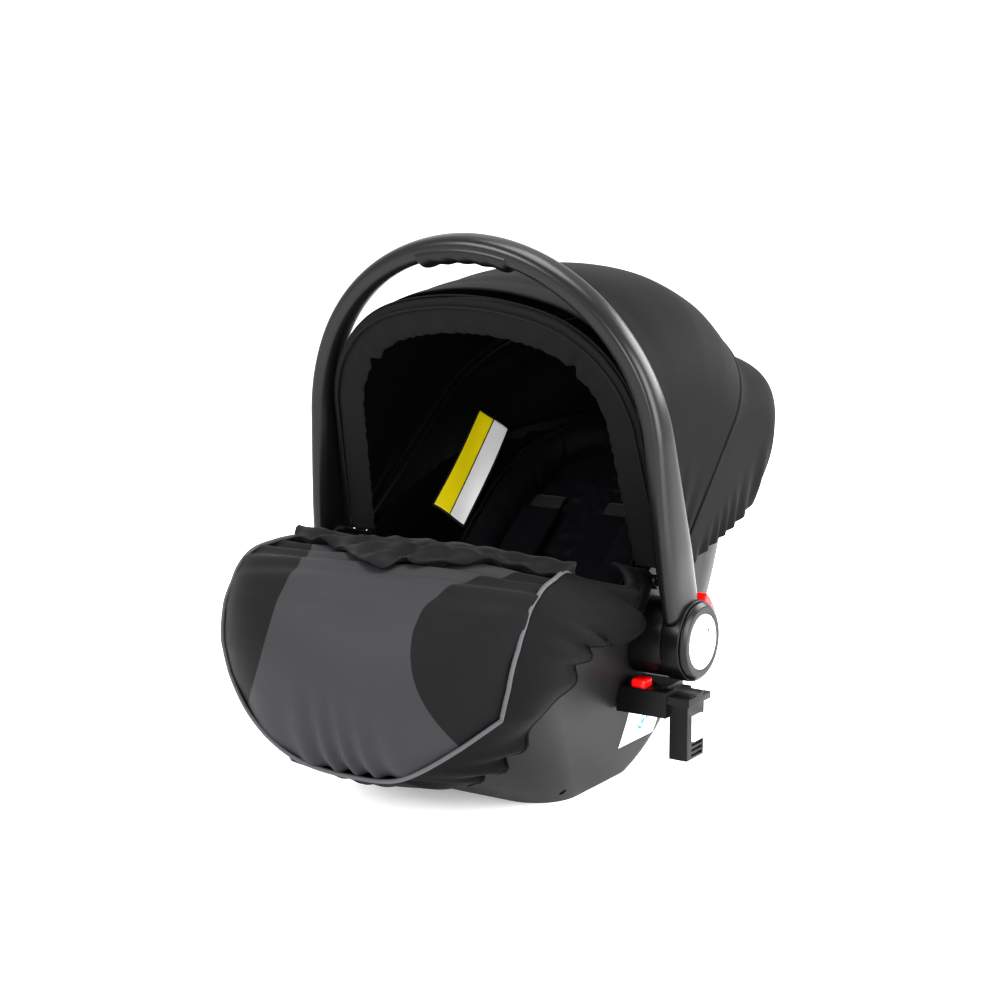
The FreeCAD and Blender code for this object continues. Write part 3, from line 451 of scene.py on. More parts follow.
def archPoint(spec, rise, inset, share):
    # share runs from 1 at the +X foot over the crown (0) to -1; gives (x, height)
    half, corner, crown = spec["half"] - inset, spec["corner"] - inset, spec["crown"] - inset
    rise = rise - inset
    lean, foot = math.radians(spec["lean"]), spec["foot"]
    top = rise - crown
    height = top + crown - corner
    for _ in range(40):
        across = half - (corner + height * math.sin(lean)) / math.cos(lean)
        height = top + math.sqrt((crown - corner) ** 2 - across ** 2)
    legEnd = (across + corner * math.cos(lean), height + corner * math.sin(lean))
    start = (half - foot * math.tan(lean), foot)
    toward = math.atan2(height - top, across)      # where the corner arc meets the crown arc
    legLength = math.hypot(legEnd[0] - start[0], legEnd[1] - start[1])
    cornerLength = corner * (toward - lean)
    crownLength = crown * (math.pi / 2 - toward)
    total = legLength + cornerLength + crownLength
    run = (1 - abs(share)) * total
    if run <= legLength:
        part = run / legLength
        point = (start[0] + (legEnd[0] - start[0]) * part, start[1] + (legEnd[1] - start[1]) * part)
    elif run <= legLength + cornerLength:
        turn = lean + (run - legLength) / corner
        point = (across + corner * math.cos(turn), height + corner * math.sin(turn))
    else:
        turn = toward + (run - legLength - cornerLength) / crown
        point = (crown * math.cos(turn), top + crown * math.sin(turn))
    return (math.copysign(point[0], share) if share else 0.0, point[1])


canopy = {"back": 0.005, "height": 0.208, "half": 0.188, "corner": 0.152, "crown": 0.246, "lean": 4.0,
          "foot": 0.015, "rearAngle": 50.0, "sag": 0.004, "cloth": 0.0012,
          "rises": [(-19, 0.270), (-14, 0.2735), (-1, 0.2785), (8, 0.2875), (20, 0.308), (30, 0.3270),
                    (40, 0.3400), (50, 0.3460), (54, 0.3460)]}


def canopyRise(angle):
    angles, rises = zip(*canopy["rises"])
    return float(np.interp(angle, angles, rises))


def canopyShape(angle):
    # squarer at the front bow and again round the head end
    front = ease((24 - angle) / 38)
    rear = ease((angle - 50) / 12)
    shape = dict(canopy)
    shape["corner"] = 0.150 - 0.024 * front - 0.050 * rear
    shape["crown"] = 0.250 + 0.062 * front + 0.300 * rear
    shape["lean"] = 4.0 + 0.9 * front
    return shape


def canopyPoint(share, angle, rise, inset=0.0):
    across, height = archPoint(canopyShape(angle), rise, inset, share)
    turn = math.radians(angle)
    return np.array([across, canopy["back"] + height * math.sin(turn),
                     canopy["height"] + height * math.cos(turn)])


def arcShares(count):
    return np.linspace(1, -1, count)


def frontPanel():
    rows = []
    for angle in np.linspace(-8.5, 49.0, 50):
        between = (angle + 8.5) / 57.5
        row = []
        for share in arcShares(161):
            side = abs(share)
            sag = canopy["sag"] * math.sin(between * math.pi) * (1 - side ** 3)
            gather = 0.0016 * math.sin(between * 26) * max(side - 0.72, 0) / 0.28
            row.append(canopyPoint(share, angle, canopyRise(angle), 0.0012 + sag + gather))
        rows.append(row)
    piece = thicken(outward(gridPiece("canopyFrontCloth", rows, finish["canopy"])), canopy["cloth"], 0)
    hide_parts("canopy_front_panel")
    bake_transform(piece)


rearPanelSpec = {"stops": [(49.0, 0.3460), (51.5, 0.3415), (54.5, 0.3420), (58.0, 0.3530), (61.0, 0.3650),
                           (63.5, 0.3685), (66.5, 0.3630), (70.0, 0.3460), (74.0, 0.3190), (79.0, 0.2830)]}


def rearPanel():
    lines = spline(rearPanelSpec["stops"], np.linspace(0, 1, 54))
    rows = []
    for index, (angle, rise) in enumerate(lines):
        down = index / (len(lines) - 1)
        row = []
        for share in arcShares(201):
            side = abs(share)
            ripple = 0.0022 * math.sin(share * 95 + 2 * math.sin(share * 17)) * max(down - 0.55, 0) / 0.45
            fold = 0.0035 * math.sin(share * 21 + down * 3) * max(down - 0.2, 0) * (1 - side)
            row.append(canopyPoint(share, angle, rise, 0.0012 + ripple + fold))
        rows.append(row)
    piece = thicken(outward(gridPiece("canopyRearCloth", rows, finish["canopy"])), canopy["cloth"], 0)
    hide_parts("canopy_rear_panel")
    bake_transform(piece)


def bandAlongArch(name, angle, profile, material, count=161, waver=None):
    # closed profile of (inset, turn in degrees) carried round an arch
    rows = []
    for share in arcShares(count):
        ring = []
        for inset, turn in profile:
            extra = waver(share, inset, turn) if waver else (0, 0)
            ring.append(canopyPoint(share, angle + turn + extra[1], canopyRise(angle + turn),
                                    inset + extra[0]))
        rows.append(ring)
    return outward(gridPiece(name, rows, material, closeAcross=True, caps=True))


hemSpec = {"width": 0.036, "thick": 1.05, "pinch": (0.36, -0.40), "angle": -14.0}


def canopyHem():
    # padded facing that turns in from the front bow; its thickness is an angle about the pivot
    outline = []
    for turn in fullTurn(28):
        reach = 0.5 - 0.5 * math.cos(turn)
        puff = math.sin(turn) * (1 - 0.45 * reach)
        outline.append((-0.0005 + reach * hemSpec["width"], hemSpec["thick"] * puff))

    def waver(share, inset, turn):
        deep = max(inset, 0) / hemSpec["width"]
        pinch = sum(math.exp(-((share - spot) / 0.014) ** 2)
                    - 0.45 * math.exp(-((share - spot - 0.03) / 0.02) ** 2) for spot in hemSpec["pinch"])
        small = 0.0007 * math.sin(share * 140 + math.sin(share * 31) * 2) * deep
        return (-0.006 * pinch * deep + small, turn * 0.12 * math.sin(share * 60) - 0.5 * pinch * turn * deep)

    piece = bandAlongArch("canopyHemBand", hemSpec["angle"], outline, finish["hem"], 321, waver)
    hold(piece, "canopy_front", "canopy_hem", finishSlot="cloth_canopy")
    for label, inset, turn in (("Outer", -0.0006, 0.9), ("Inner", 0.006, -1.45)):
        path = [canopyPoint(share, hemSpec["angle"] + turn, canopyRise(hemSpec["angle"] + turn), inset)
                for share in arcShares(161)]
        edge = tubeAlong("canopyHemSeam" + label, path, 0.0011, finish["darkPiping"], 8, up=(0, 1, 0.1))
        hold(edge, "canopy_front", finishSlot="cloth_canopy")


def rearSeam():
    outline = []
    for turn in fullTurn(16):
        outline.append((0.0006 - 0.0014 * math.cos(turn), 0.9 * math.sin(turn)))
    piece = bandAlongArch("canopyBowSeam", canopy["rearAngle"], outline, finish["canopy"], 161)
    hold(piece, "canopy_rear", "canopy_rear_seam", finishSlot="cloth_canopy")


def canopyBows():
    for name, body, angle in (("Front", "canopy_front", -11.5), ("Rear", "canopy_rear", 50.0)):
        path = [canopyPoint(share, angle, canopyRise(angle), 0.0065) for share in arcShares(121)]
        wire = tubeAlong("canopyBow" + name, path, 0.0024, finish["wire"], 12, up=(0, 1, 0.3))
        hold(wire, body, "canopy_%s_bow" % name.lower(), finishSlot="bow_steel")


frontPanel()
rearPanel()
canopyHem()
rearSeam()
canopyBows()
print("canopy made")

# footmuff

muff = {"line": [(-0.112, 0.232), (-0.130, 0.239), (-0.170, 0.240), (-0.215, 0.236), (-0.254, 0.216),
                 (-0.274, 0.177), (-0.276, 0.130), (-0.268, 0.085), (-0.248, 0.055), (-0.215, 0.040)],
        "halves": [(0, 0.144), (0.05, 0.146), (0.15, 0.154), (0.30, 0.1605), (0.48, 0.1615), (0.58, 0.1575),
                   (0.66, 0.150), (0.74, 0.139), (0.83, 0.123), (1.0, 0.100)],
        "bulge": 0.044, "bottom": 0.895, "corner": 0.235}


def muffWidth(v):
    downs, halves = zip(*muff["halves"])
    return float(np.interp(v, downs, halves))


muffTable = spline(muff["line"], np.linspace(0, 1, 401))


def muffLine(v):
    place = min(max(v, 0), 1) * 400
    low = min(int(place), 399)
    part = place - low
    here = muffTable[low] * (1 - part) + muffTable[low + 1] * part
    ahead = muffTable[min(low + 3, 400)] - muffTable[max(low - 3, 0)]
    ahead = ahead / np.linalg.norm(ahead)
    return here, np.array([ahead[1], -ahead[0]])        # place and outward normal in (y, z)


def muffPoint(u, v, lift=0.0):
    here, normal = muffLine(v)
    edge = abs(u)
    bulge = muff["bulge"] * edge ** 4 * (0.12 + 0.88 * min(v / 0.42, 1) ** 1.5)
    out = here + normal * lift
    side = math.sin(edge ** 4 * 1.2) * lift
    return np.array([u * muffWidth(v) + math.copysign(side, u), out[0] + bulge * 0.96, out[1] - bulge * 0.12])


def muffEnd(u):
    return muff["bottom"] - muff["corner"] * abs(u) ** 2.7


def wrinkle(u, v):
    x = u * muffWidth(v)
    low = max(v - 0.62, 0) / 0.28
    high = max(0.48 - v, 0) / 0.3
    folds = 0.0030 * low * math.sin(x * 190 + 3 * math.sin(x * 37)) * (1 - 0.5 * abs(u))
    across = 0.0022 * high * math.sin(v * 70 + 6 * math.sin(x * 9 + 1))
    soft = 0.0035 * math.sin(x * 23 + 1.0) * math.sin(v * 11 + 0.6)
    return folds + across + soft


def muffMaterial():
    make = Maker("footmuffCloth")
    across, up, deep = make.axes(make.coords("UV"))
    flip = make.size(across)
    # seam: half-width of the pale middle panel against distance down the front
    bend = (up - 0.165) / 0.145
    seam = 0.0765 + bend * bend * 0.062
    side = flip > seam
    gap = make.size(flip - seam)
    stitch = gap < 0.0011
    thread = weave(make, 0.0012)
    cloud = make.noise(9, 5, 0.6)
    fine = make.noise(700, 3)
    share = cloud * 0.55 + thread * 0.3 + fine * 0.15
    pale = make.mix(share, shade(0.020, (1, 1, 1.08)), shade(0.034, (1, 1, 1.08)))
    dark = make.mix(share, shade(0.0045, (1, 1, 1.1)), shade(0.0085, (1, 1, 1.1)))
    colour = make.mix(stitch, make.mix(side, pale, dark), shade(0.006))
    height = thread + fine * 0.5 - stitch * 6.0
    under = make.bump(make.noise(34, 4, 0.5), 0.45, 0.0015)
    return make.surface(Base_Color=colour, Roughness=0.58 + (cloud - 0.5) * 0.14 + side * 0.08,
                        Sheen_Weight=0.03, Specular_IOR_Level=0.14, Sheen_Roughness=0.4,
                        Normal=make.bump(height, 0.5, 0.00014, under))


def muffFront():
    cross = np.linspace(-1, 1, 121)
    downs = np.linspace(0, 1, 130)
    verts, uvs = [], []
    for down in downs:
        for u in cross:
            v = down * muffEnd(u)
            verts.append(muffPoint(u, v, wrinkle(u, v)))
            uvs.append((u * muffWidth(v), v * 0.385))
    faces = gridFaces(len(downs), len(cross))
    piece = outward(newPiece("footmuffFront", verts, faces, muffMaterial(), uvs))
    thicken(piece, 0.007, -1)
    hold(piece, "seat", "footmuff", finishSlot="cloth_muff")


def edgePath(lift=0.0, count=60):
    right = [muffPoint(1, down * muffEnd(1), lift) for down in np.linspace(0, 1, count)]
    bottom = [muffPoint(u, muffEnd(u), lift) for u in np.linspace(1, -1, count * 2)][1:-1]
    left = [muffPoint(-1, down * muffEnd(1), lift) for down in np.linspace(1, 0, count)]
    return np.array(right + bottom + left)


hemStops = [(0.168, -0.030, 0.210), (0.169, -0.022, 0.172), (0.168, -0.052, 0.160),
            (0.166, -0.098, 0.168), (0.160, -0.146, 0.136), (0.141, -0.186, 0.092),
            (0.108, -0.204, 0.060), (0.0, -0.208, 0.045)]


def gusset():
    path = edgePath()
    half = path[:len(path) // 2 + 1]
    hem = spline(hemStops, np.linspace(0, 1, len(half)))
    rows = []
    depth = 30
    for step in np.linspace(0, 1, depth):
        row = []
        for index, (start, end) in enumerate(zip(half, hem)):
            along = index / (len(half) - 1)
            point = start * (1 - step) + end * step
            swell = 0.012 * math.sin(step * math.pi) * (1 - 0.5 * along)
            ruffle = 0.0065 * step ** 2 * math.sin(along * 58 + 2.5 * math.sin(along * 19))
            normal = np.array([1.0, -0.25, -0.1]) if along < 0.75 else np.array([0.3, -0.6, -0.7])
            row.append(point + unit(normal) * (swell + ruffle))
        rows.append(row)
    rows = np.array(rows)
    for side, sign in (("Right", 1), ("Left", -1)):
        made = outward(gridPiece("footmuffGusset" + side, rows * np.array([sign, 1, 1]), finish["gusset"]))
        thicken(made, 0.003, 0)
        hold(made, "seat", finishSlot="cloth_muff")
        elastic = tubeAlong("footmuffElastic" + side, rows[-1] * np.array([sign, 1, 1]), 0.0026,
                            finish["gusset"], 10)
        hold(elastic, "seat", finishSlot="cloth_muff")


def muffPiping():
    piece = tubeAlong("footmuffPiping", edgePath(0.0015), 0.0021, finish["piping"], 10, up=(0, 0.3, 1))
    hold(piece, "seat", finishSlot="cloth_muff")


def muffCollar():
    # turned-back flap on the top edge, its free edge dipping at the middle
    cross = np.linspace(-1, 1, 141)
    rows = []
    for turn in fullTurn(26):
        reach = 0.5 - 0.5 * math.cos(turn)
        puff = math.sin(turn)
        row = []
        for u in cross:
            dip = (0.10 + 0.16 * math.exp(-((u + 0.02) / 0.42) ** 2)
                   - 0.035 * math.exp(-((u - 0.10) / 0.05) ** 2))
            pinch = math.exp(-((u - 0.06) / 0.045) ** 2)
            start = -0.02
            v = start + (dip - start) * reach
            here = muffPoint(u, max(v, 0), 0.0055 + wrinkle(u, max(v, 0)) + 0.0055 * puff * (1 - 0.5 * pinch)
                             + 0.0016 * math.sin(u * 30 + reach * 4) * reach)
            if v < 0:
                here = here + np.array([0, -v * 0.35, 0.001])
            row.append(here)
        rows.append(row)
    rows = np.array(rows).transpose(1, 0, 2)
    piece = outward(gridPiece("footmuffCollar", rows, finish["muffCollar"], closeAcross=True, caps=True))
    hold(piece, "seat", finishSlot="cloth_muff")


muffFront()
gusset()
muffPiping()
muffCollar()
print("footmuff made")

# handle and hubs

hub = {"back": 0.011, "height": 0.155, "lean": 10.5}
handle = {"half": 0.2035, "rise": 0.374, "corner": 0.192, "crown": 0.254, "lean": 3.8, "foot": 0.028,
          "thick": 0.011, "depth": 0.0145, "hubDepth": 0.0275, "hubShift": -0.0045,
          "square": 2.7}


def handlePlace(across, height, along):
    tilt = math.radians(hub["lean"])
    return np.array([across, hub["back"] - height * math.sin(tilt) + along * math.cos(tilt),
                     hub["height"] + height * math.cos(tilt) + along * math.sin(tilt)])


def handleFrameAt(share):
    here = np.array(archPoint(handle, handle["rise"], 0, share))
    step = 0.002
    ahead = (np.array(archPoint(handle, handle["rise"], 0, max(share - step, -1)))
             - np.array(archPoint(handle, handle["rise"], 0, min(share + step, 1))))
    ahead = ahead / np.linalg.norm(ahead)
    normal = np.array([ahead[1], -ahead[0]])
    return here, normal if normal @ here >= 0 else -normal


def handleBow():
    rows = []
    for share in np.linspace(1, -1, 241):
        here, normal = handleFrameAt(share)
        side = abs(share)
        thick = handle["thick"] - 0.0016 * ease((side - 0.86) / 0.1)
        low = ease((side - 0.45) / 0.5)
        depth = handle["depth"] + (handle["hubDepth"] - handle["depth"]) * low
        shift = handle["hubShift"] * low
        ring = []
        for turn in fullTurn(40):
            power = 2 / handle["square"]
            out = thick * rounded(math.cos(turn), power)
            along = depth * rounded(math.sin(turn), power)
            # parting line of the two half shells, on both edges of the inner face
            groove = 0.0005 * math.exp(-((turn - math.pi * 0.68) / 0.035) ** 2)
            groove += 0.0005 * math.exp(-((turn - math.pi * 1.32) / 0.035) ** 2)
            shrink = 1 - groove / thick
            spot = here + normal * out * shrink
            ring.append(handlePlace(spot[0], spot[1], along * shrink + shift))
        rows.append(ring)
    piece = outward(gridPiece("handleBow", rows, finish["handle"], closeAcross=True, caps=True))
    hold(piece, "handle", "handle_frame", finishSlot="handle_plastic")


grip = {"half": 0.125, "end": 0.012, "fingers": 5, "finger": 0.0007}


def handleGrip():
    # soft insert under the crown with four finger hollows
    rows = []
    for share in np.linspace(grip["half"], -grip["half"], 97):
        here, normal = handleFrameAt(share)
        end = ease((grip["half"] - abs(share)) / grip["end"])
        finger = grip["finger"] * math.cos(share / grip["half"] * math.pi * grip["fingers"])
        ring = []
        for turn in fullTurn(28):
            inner = max(-math.cos(turn), 0)
            out = -0.0030 + (0.0118 * end + 0.002) * math.cos(turn) * (0.6 if math.cos(turn) > 0 else 1)
            out -= (0.0004 + finger) * inner * end
            along = (0.0152 * end + 0.0003) * math.sin(turn)
            spot = here + normal * out
            ring.append(handlePlace(spot[0], spot[1], along))
        rows.append(ring)
    piece = outward(gridPiece("handleGripInsert", rows, finish["black"], closeAcross=True, caps=True))
    hold(piece, "handle", "handle_grip", finishSlot="grip_rubber")


def turned(name, profile, sign, material, closed=False, steps=72):
    # ring or disc turned about the hub's axis, from (distance along X, radius)
    rows = []
    for along, radius in profile:
        turn = fullTurn(steps)
        rows.append(np.stack([np.full(steps, sign * along), hub["back"] + radius * np.cos(turn),
                              hub["height"] + radius * np.sin(turn)], axis=1))
    piece = outward(gridPiece(name, rows, material, closeAcross=True, closeAlong=closed, caps=not closed))
    sharpen(piece, 40)
    return piece


hubRing = {"start": 0.1943, "end": 0.2138, "radius": 0.039, "gearBore": 0.0212, "web": (0.2028, 0.2058),
           "boltBore": 0.0056, "headBore": 0.0122}
hubCap = {"start": 0.2139, "face": 0.2198, "radius": 0.0375, "dish": 0.0268, "disc": (0.2186, 0.2201, 0.0264)}


def discMaterial():
    make = Maker("hubDisc")
    across, up, deep = make.axes(make.coords())
    back, high = up - hub["back"], deep - hub["height"]
    radius = make.root(back * back + high * high)
    ring = (radius > 0.0222) * (radius < 0.0232)
    markBack, markHigh = back - 0.0105, high - 0.0095
    mark = (markBack * markBack + markHigh * markHigh) < 0.0022 ** 2
    ghost = (radius > 0.0085) * (radius < 0.0090) + (radius > 0.0150) * (radius < 0.0154)
    cloud = make.noise(80, 3)
    face = make.mix(cloud, shade(0.78), shade(0.84))
    face = make.mix(ghost * 0.5, face, shade(0.55))
    inked = ring + mark
    inked = make.capped(inked)
    return make.surface(Base_Color=make.mix(inked, face, (0.62, 0.02, 0.02, 1)),
                        Roughness=0.32 + cloud * 0.06,
                        Normal=make.bump(cloud + inked * 0.3, 0.1, 0.00005))


def hubs():
    disc = discMaterial()
    for side, sign in (("Right", 1), ("Left", -1)):
        tail = "_" + side.lower()
        start, end, radius = hubRing["start"], hubRing["end"], hubRing["radius"]
        inner, outer = hubRing["web"]
        gear, head, bolt = hubRing["gearBore"], hubRing["headBore"], hubRing["boltBore"]
        ringRun = roundedRun([(start, gear), (start, radius), (end, radius), (end, head), (outer, head),
                              (outer, bolt), (inner, bolt), (inner, gear)], 0.0014)
        hold(turned("hubRing" + side, ringRun, sign, finish["black"], closed=True), "handle",
             finishSlot="handle_plastic")
        capRun = roundedRun([(hubCap["start"], 0.0002), (hubCap["start"], hubCap["radius"]),
                             (hubCap["start"] + 0.0022, hubCap["radius"] + 0.0002), (hubCap["face"], 0.0335),
                             (hubCap["face"], hubCap["dish"]), (hubCap["disc"][0], hubCap["dish"]),
                             (hubCap["disc"][0], 0.0002)], 0.0011)
        hold(turned("hubCapCover" + side, capRun, sign, finish["black"]), "handle", "hub_cap" + tail,
             finishSlot="black_plastic")
        low, high, radius = hubCap["disc"]
        discRun = roundedRun([(low, 0.0002), (low, radius), (high, radius), (high, 0.0002)], 0.0005)
        hold(turned("hubBadge" + side, discRun, sign, disc), "handle", "hub_disc" + tail,
             finishSlot="white_plastic")
        hold(soften("handle_mount" + tail, "hubBoss" + side, finish["black"], 0.0022), "seat",
             "handle_mount" + tail, finishSlot="black_plastic")
        hold(soften("handle_button" + tail, "releaseButton" + side, finish["red"], 0.0014, 4),
             "release" + tail, "handle_button" + tail, finishSlot="red_plastic")


# stroller adapters

adapterWing = {"start": 0.184, "end": 0.2262, "middle": -0.0045, "half": 0.0225, "tipHalf": 0.0160,
               "top": 0.1046, "lift": 0.0085, "thick": 0.0100, "tipThick": 0.0038}


def adapters():
    for side, sign in (("Right", 1), ("Left", -1)):
        tail = "_" + side.lower()
        hold(soften("adapter" + tail, "adapterBody" + side, finish["bracket"], 0.0016, 3), "seat",
             "adapter" + tail, finishSlot="black_plastic")
        rows = []
        for part in np.linspace(0, 1, 22):
            half = adapterWing["half"] + (adapterWing["tipHalf"] - adapterWing["half"]) * part ** 1.6
            thick = adapterWing["thick"] + (adapterWing["tipThick"] - adapterWing["thick"]) * part
            top = adapterWing["top"] + adapterWing["lift"] * part ** 5
            across = adapterWing["start"] + (adapterWing["end"] - adapterWing["start"]) * part
            closing = math.sqrt(max(1 - max(part - 0.9, 0) ** 2 * 90, 0.03))
            ring = []
            for turn in fullTurn(36):
                wide = rounded(math.cos(turn), 0.55) * half * closing
                tall = rounded(math.sin(turn), 0.8) * thick / 2 * closing
                sag = -0.0022 * (1 - (wide / half) ** 2) * part
                ring.append((sign * across, adapterWing["middle"] + wide, top - thick / 2 + tall + sag))
            rows.append(ring)
        wing = outward(gridPiece("adapterWing" + side, rows, finish["bracket"], closeAcross=True, caps=True))
        hold(wing, "seat", finishSlot="black_plastic")
        hold(soften("adapter_latch" + tail, "adapterLatch" + side, finish["white"], 0.0016, 4),
             "latch" + tail, "adapter_latch" + tail, finishSlot="white_plastic")
        hold(soften("adapter_lever" + tail, "adapterLever" + side, finish["red"], 0.0030, 5), "lever" + tail,
             "adapter_lever" + tail, finishSlot="red_plastic")
        hold(soften("canopy_clip" + tail, "canopyClip" + side, finish["black"], 0.0012), "seat",
             "canopy_clip" + tail, finishSlot="black_plastic")


handleBow()
handleGrip()
hubs()
adapters()
print("handle and adapters made")

# padded seat

seat = {"line": [(-0.256, 0.186), (-0.190, 0.120), (-0.110, 0.084), (-0.040, 0.072), (0.040, 0.092),
                 (0.300, 0.290)]}


def seatHeight(back, above=0.0):
    places, heights = zip(*seat["line"])
    return float(np.interp(back, places, heights)) + above


def hashNoise(points, scale, seed=0):
    # smooth value noise on a lattice
    grid = points * scale + seed * 17.13
    base = np.floor(grid).astype(int)
    part = grid - base
    part = part * part * (3 - 2 * part)
    total = np.zeros(len(points))
    for corner in range(8):
        offset = np.array([corner & 1, corner >> 1 & 1, corner >> 2 & 1])
        key = (base + offset) @ np.array([374761, 668265, 974711])
        key = (key ^ (key >> 13)) * 1274126177 & 0x7fffffff
        level = (key ^ (key >> 16)) % 1000 / 1000.0
        weight = np.prod(np.where(offset, part, 1 - part), axis=1)
        total += level * weight
    return total * 2 - 1


def pushed(piece, field):
    # each vertex along its normal by a distance that depends on its place
    mesh = piece.data
    count = len(mesh.vertices)
    places = np.empty(count * 3)
    normals = np.empty(count * 3)
    mesh.vertices.foreach_get("co", places)
    mesh.vertices.foreach_get("normal", normals)
    places, normals = places.reshape(-1, 3), normals.reshape(-1, 3)
    moved = places + normals * field(places, normals)[:, None]
    mesh.vertices.foreach_set("co", moved.ravel())
    mesh.update()
    return piece


def inflated(piece, pressure, cap):
    # air pressure from inside rounds a closed cover; movement is capped
    if not pressure:
        return piece
    count = len(piece.data.vertices)
    before = np.empty(count * 3)
    piece.data.vertices.foreach_get("co", before)
    cloth = piece.modifiers.new("cover", "CLOTH")
    cloth.settings.use_pressure = True
    cloth.settings.uniform_pressure_force = pressure
    cloth.settings.effector_weights.gravity = 0
    cloth.settings.quality = 5
    cloth.point_cache.frame_start, cloth.point_cache.frame_end = 1, 20
    for step in range(1, 21):
        bpy.context.scene.frame_set(step)
    settle(piece)
    bpy.context.scene.frame_set(1)
    after = np.empty(count * 3)
    piece.data.vertices.foreach_get("co", after)
    shift = (after - before).reshape(-1, 3)
    size = np.linalg.norm(shift, axis=1)
    shift *= (np.minimum(size, cap) / np.maximum(size, 1e-9))[:, None]
    piece.data.vertices.foreach_set("co", (before.reshape(-1, 3) + shift).ravel())
    piece.data.update()
    return piece


def cushion(node, name, look, voxel, smooth, pressure, cap, field):
    piece = nodeCopy(node, name, finish[look])
    even = piece.modifiers.new("even", "REMESH")
    even.mode = "VOXEL"
    even.voxel_size = voxel
    settle(piece)
    relax = piece.modifiers.new("relax", "SMOOTH")
    relax.factor = 0.5
    relax.iterations = smooth
    settle(piece)
    inflated(piece, pressure, cap)
    fine = piece.modifiers.new("fine", "SUBSURF")
    fine.levels = fine.render_levels = 1
    settle(piece)
    if field is not None:
        pushed(piece, field)
    piece.data.materials.clear()
    piece.data.materials.append(finish[look])
    for face in piece.data.polygons:
        face.use_smooth = True
    return piece


def linerField(places, normals):
    return hashNoise(places, 22, 1) * 0.0014 + hashNoise(places, 61, 2) * 0.0006


def padField(places, normals):
    # gathers that run out from the straps, on the upper face only
    upper = np.clip(normals[:, 2], 0, 1)
    warp = places.copy()
    warp[:, 1] *= 0.35
    ridge = 1 - np.abs(hashNoise(warp, 95, 3))
    fine = 1 - np.abs(hashNoise(places, 150, 4))
    return upper * (-0.0052 * (1 - ridge) ** 0.8 - 0.0012 * (1 - fine)) + hashNoise(places, 30, 5) * 0.0008


def bolsterField(places, normals):
    return hashNoise(places, 40, 6) * 0.0012 - 0.0012 * (1 - np.abs(hashNoise(places, 75, 7)) ** 0.5)


def seatCovers():
    for node, name, look, voxel, smooth, pressure, cap, field, fill in (
            ("seat_liner", "seatCover", "inside", 0.0072, 3, 0.0, 0.006, linerField, 0.5),
            ("seat_insert", "seatPad", "pad", 0.0050, 5, 0.0, 0.006, padField, 0.5),
            ("shoulder_pad_right", "strapPadRight", "pad", 0.0030, 5, 4.0, 0.004, None, 0.6),
            ("shoulder_pad_left", "strapPadLeft", "pad", 0.0030, 5, 4.0, 0.004, None, 0.6),
            ("crotch_pad", "crotchCushion", "pad", 0.0030, 5, 4.0, 0.004, None, 0.6)):
        soft = cushion(node, name, look, voxel, smooth, pressure, cap, field)
        hold(soft, "seat", node, finishSlot="cloth_seat")


bolster = {"stops": [(0.079, 0.036, 0.020), (0.083, 0.070, 0.026), (0.086, 0.120, 0.030),
                     (0.084, 0.165, 0.031), (0.070, 0.205, 0.030),
                     (0.040, 0.228, 0.028), (0.0, 0.235, 0.027)],
           "wide": 0.0235, "lift": 0.052}


def headBolster():
    stops = bolster["stops"]
    whole = stops + [(-across, back, rise) for across, back, rise in stops[:-1][::-1]]
    path = spline(whole, np.linspace(0, 1, 161))
    flat = unit(np.gradient(path[:, :2], axis=0))
    rows, edge = [], []
    for index, (across, back, rise) in enumerate(path):
        out = np.array([flat[index][1], -flat[index][0]])
        end = math.sqrt(max(1 - max(1 - min(index, 160 - index) / 9, 0) ** 2, 0.02))
        floor = seatHeight(back, bolster["lift"])
        pinch = 1 - 0.10 * math.exp(-(math.sin(index * 0.19) / 0.25) ** 2)
        ring = []
        for turn in fullTurn(44):
            wide = rounded(math.cos(turn), 0.85) * bolster["wide"] * end * pinch
            tall = math.sin(turn) * (rise if turn < math.pi else 0.010) * end
            spot = np.array([across, back]) + out * wide
            ring.append((spot[0], spot[1], floor + tall - 0.55 * wide * 0.2))
        rows.append(ring)
        spot = np.array([across, back]) + out * bolster["wide"] * 0.72 * end * pinch
        edge.append((spot[0], spot[1], floor + rise * 0.80 * end))
    piece = outward(gridPiece("headBolster", rows, finish["pad"], closeAcross=True, caps=True))
    pushed(piece, bolsterField)
    hold(piece, "seat", "head_hugger", finishSlot="cloth_seat")
    cord = tubeAlong("headBolsterPiping", edge[4:-4], 0.0018, finish["darkPiping"], 8)
    hold(cord, "seat", finishSlot="cloth_seat")


def ribbon(name, path, across, width, thick, material):
    path = np.asarray(path, float)
    ahead = unit(np.gradient(path, axis=0))
    across = np.array(across, float)
    top = unit(np.cross(ahead, across))
    rows = []
    for index in range(len(path)):
        ring = []
        for turn in fullTurn(20):
            wide = rounded(math.cos(turn), 0.25) * width / 2
            tall = rounded(math.sin(turn), 0.6) * thick / 2
            ring.append(path[index] + across * wide + top[index] * tall)
        rows.append(ring)
    return outward(gridPiece(name, rows, material, closeAcross=True, caps=True))


strap = {"centre": 0.045, "width": 0.038, "thick": 0.0018, "above": 0.0512, "slot": 0.172}


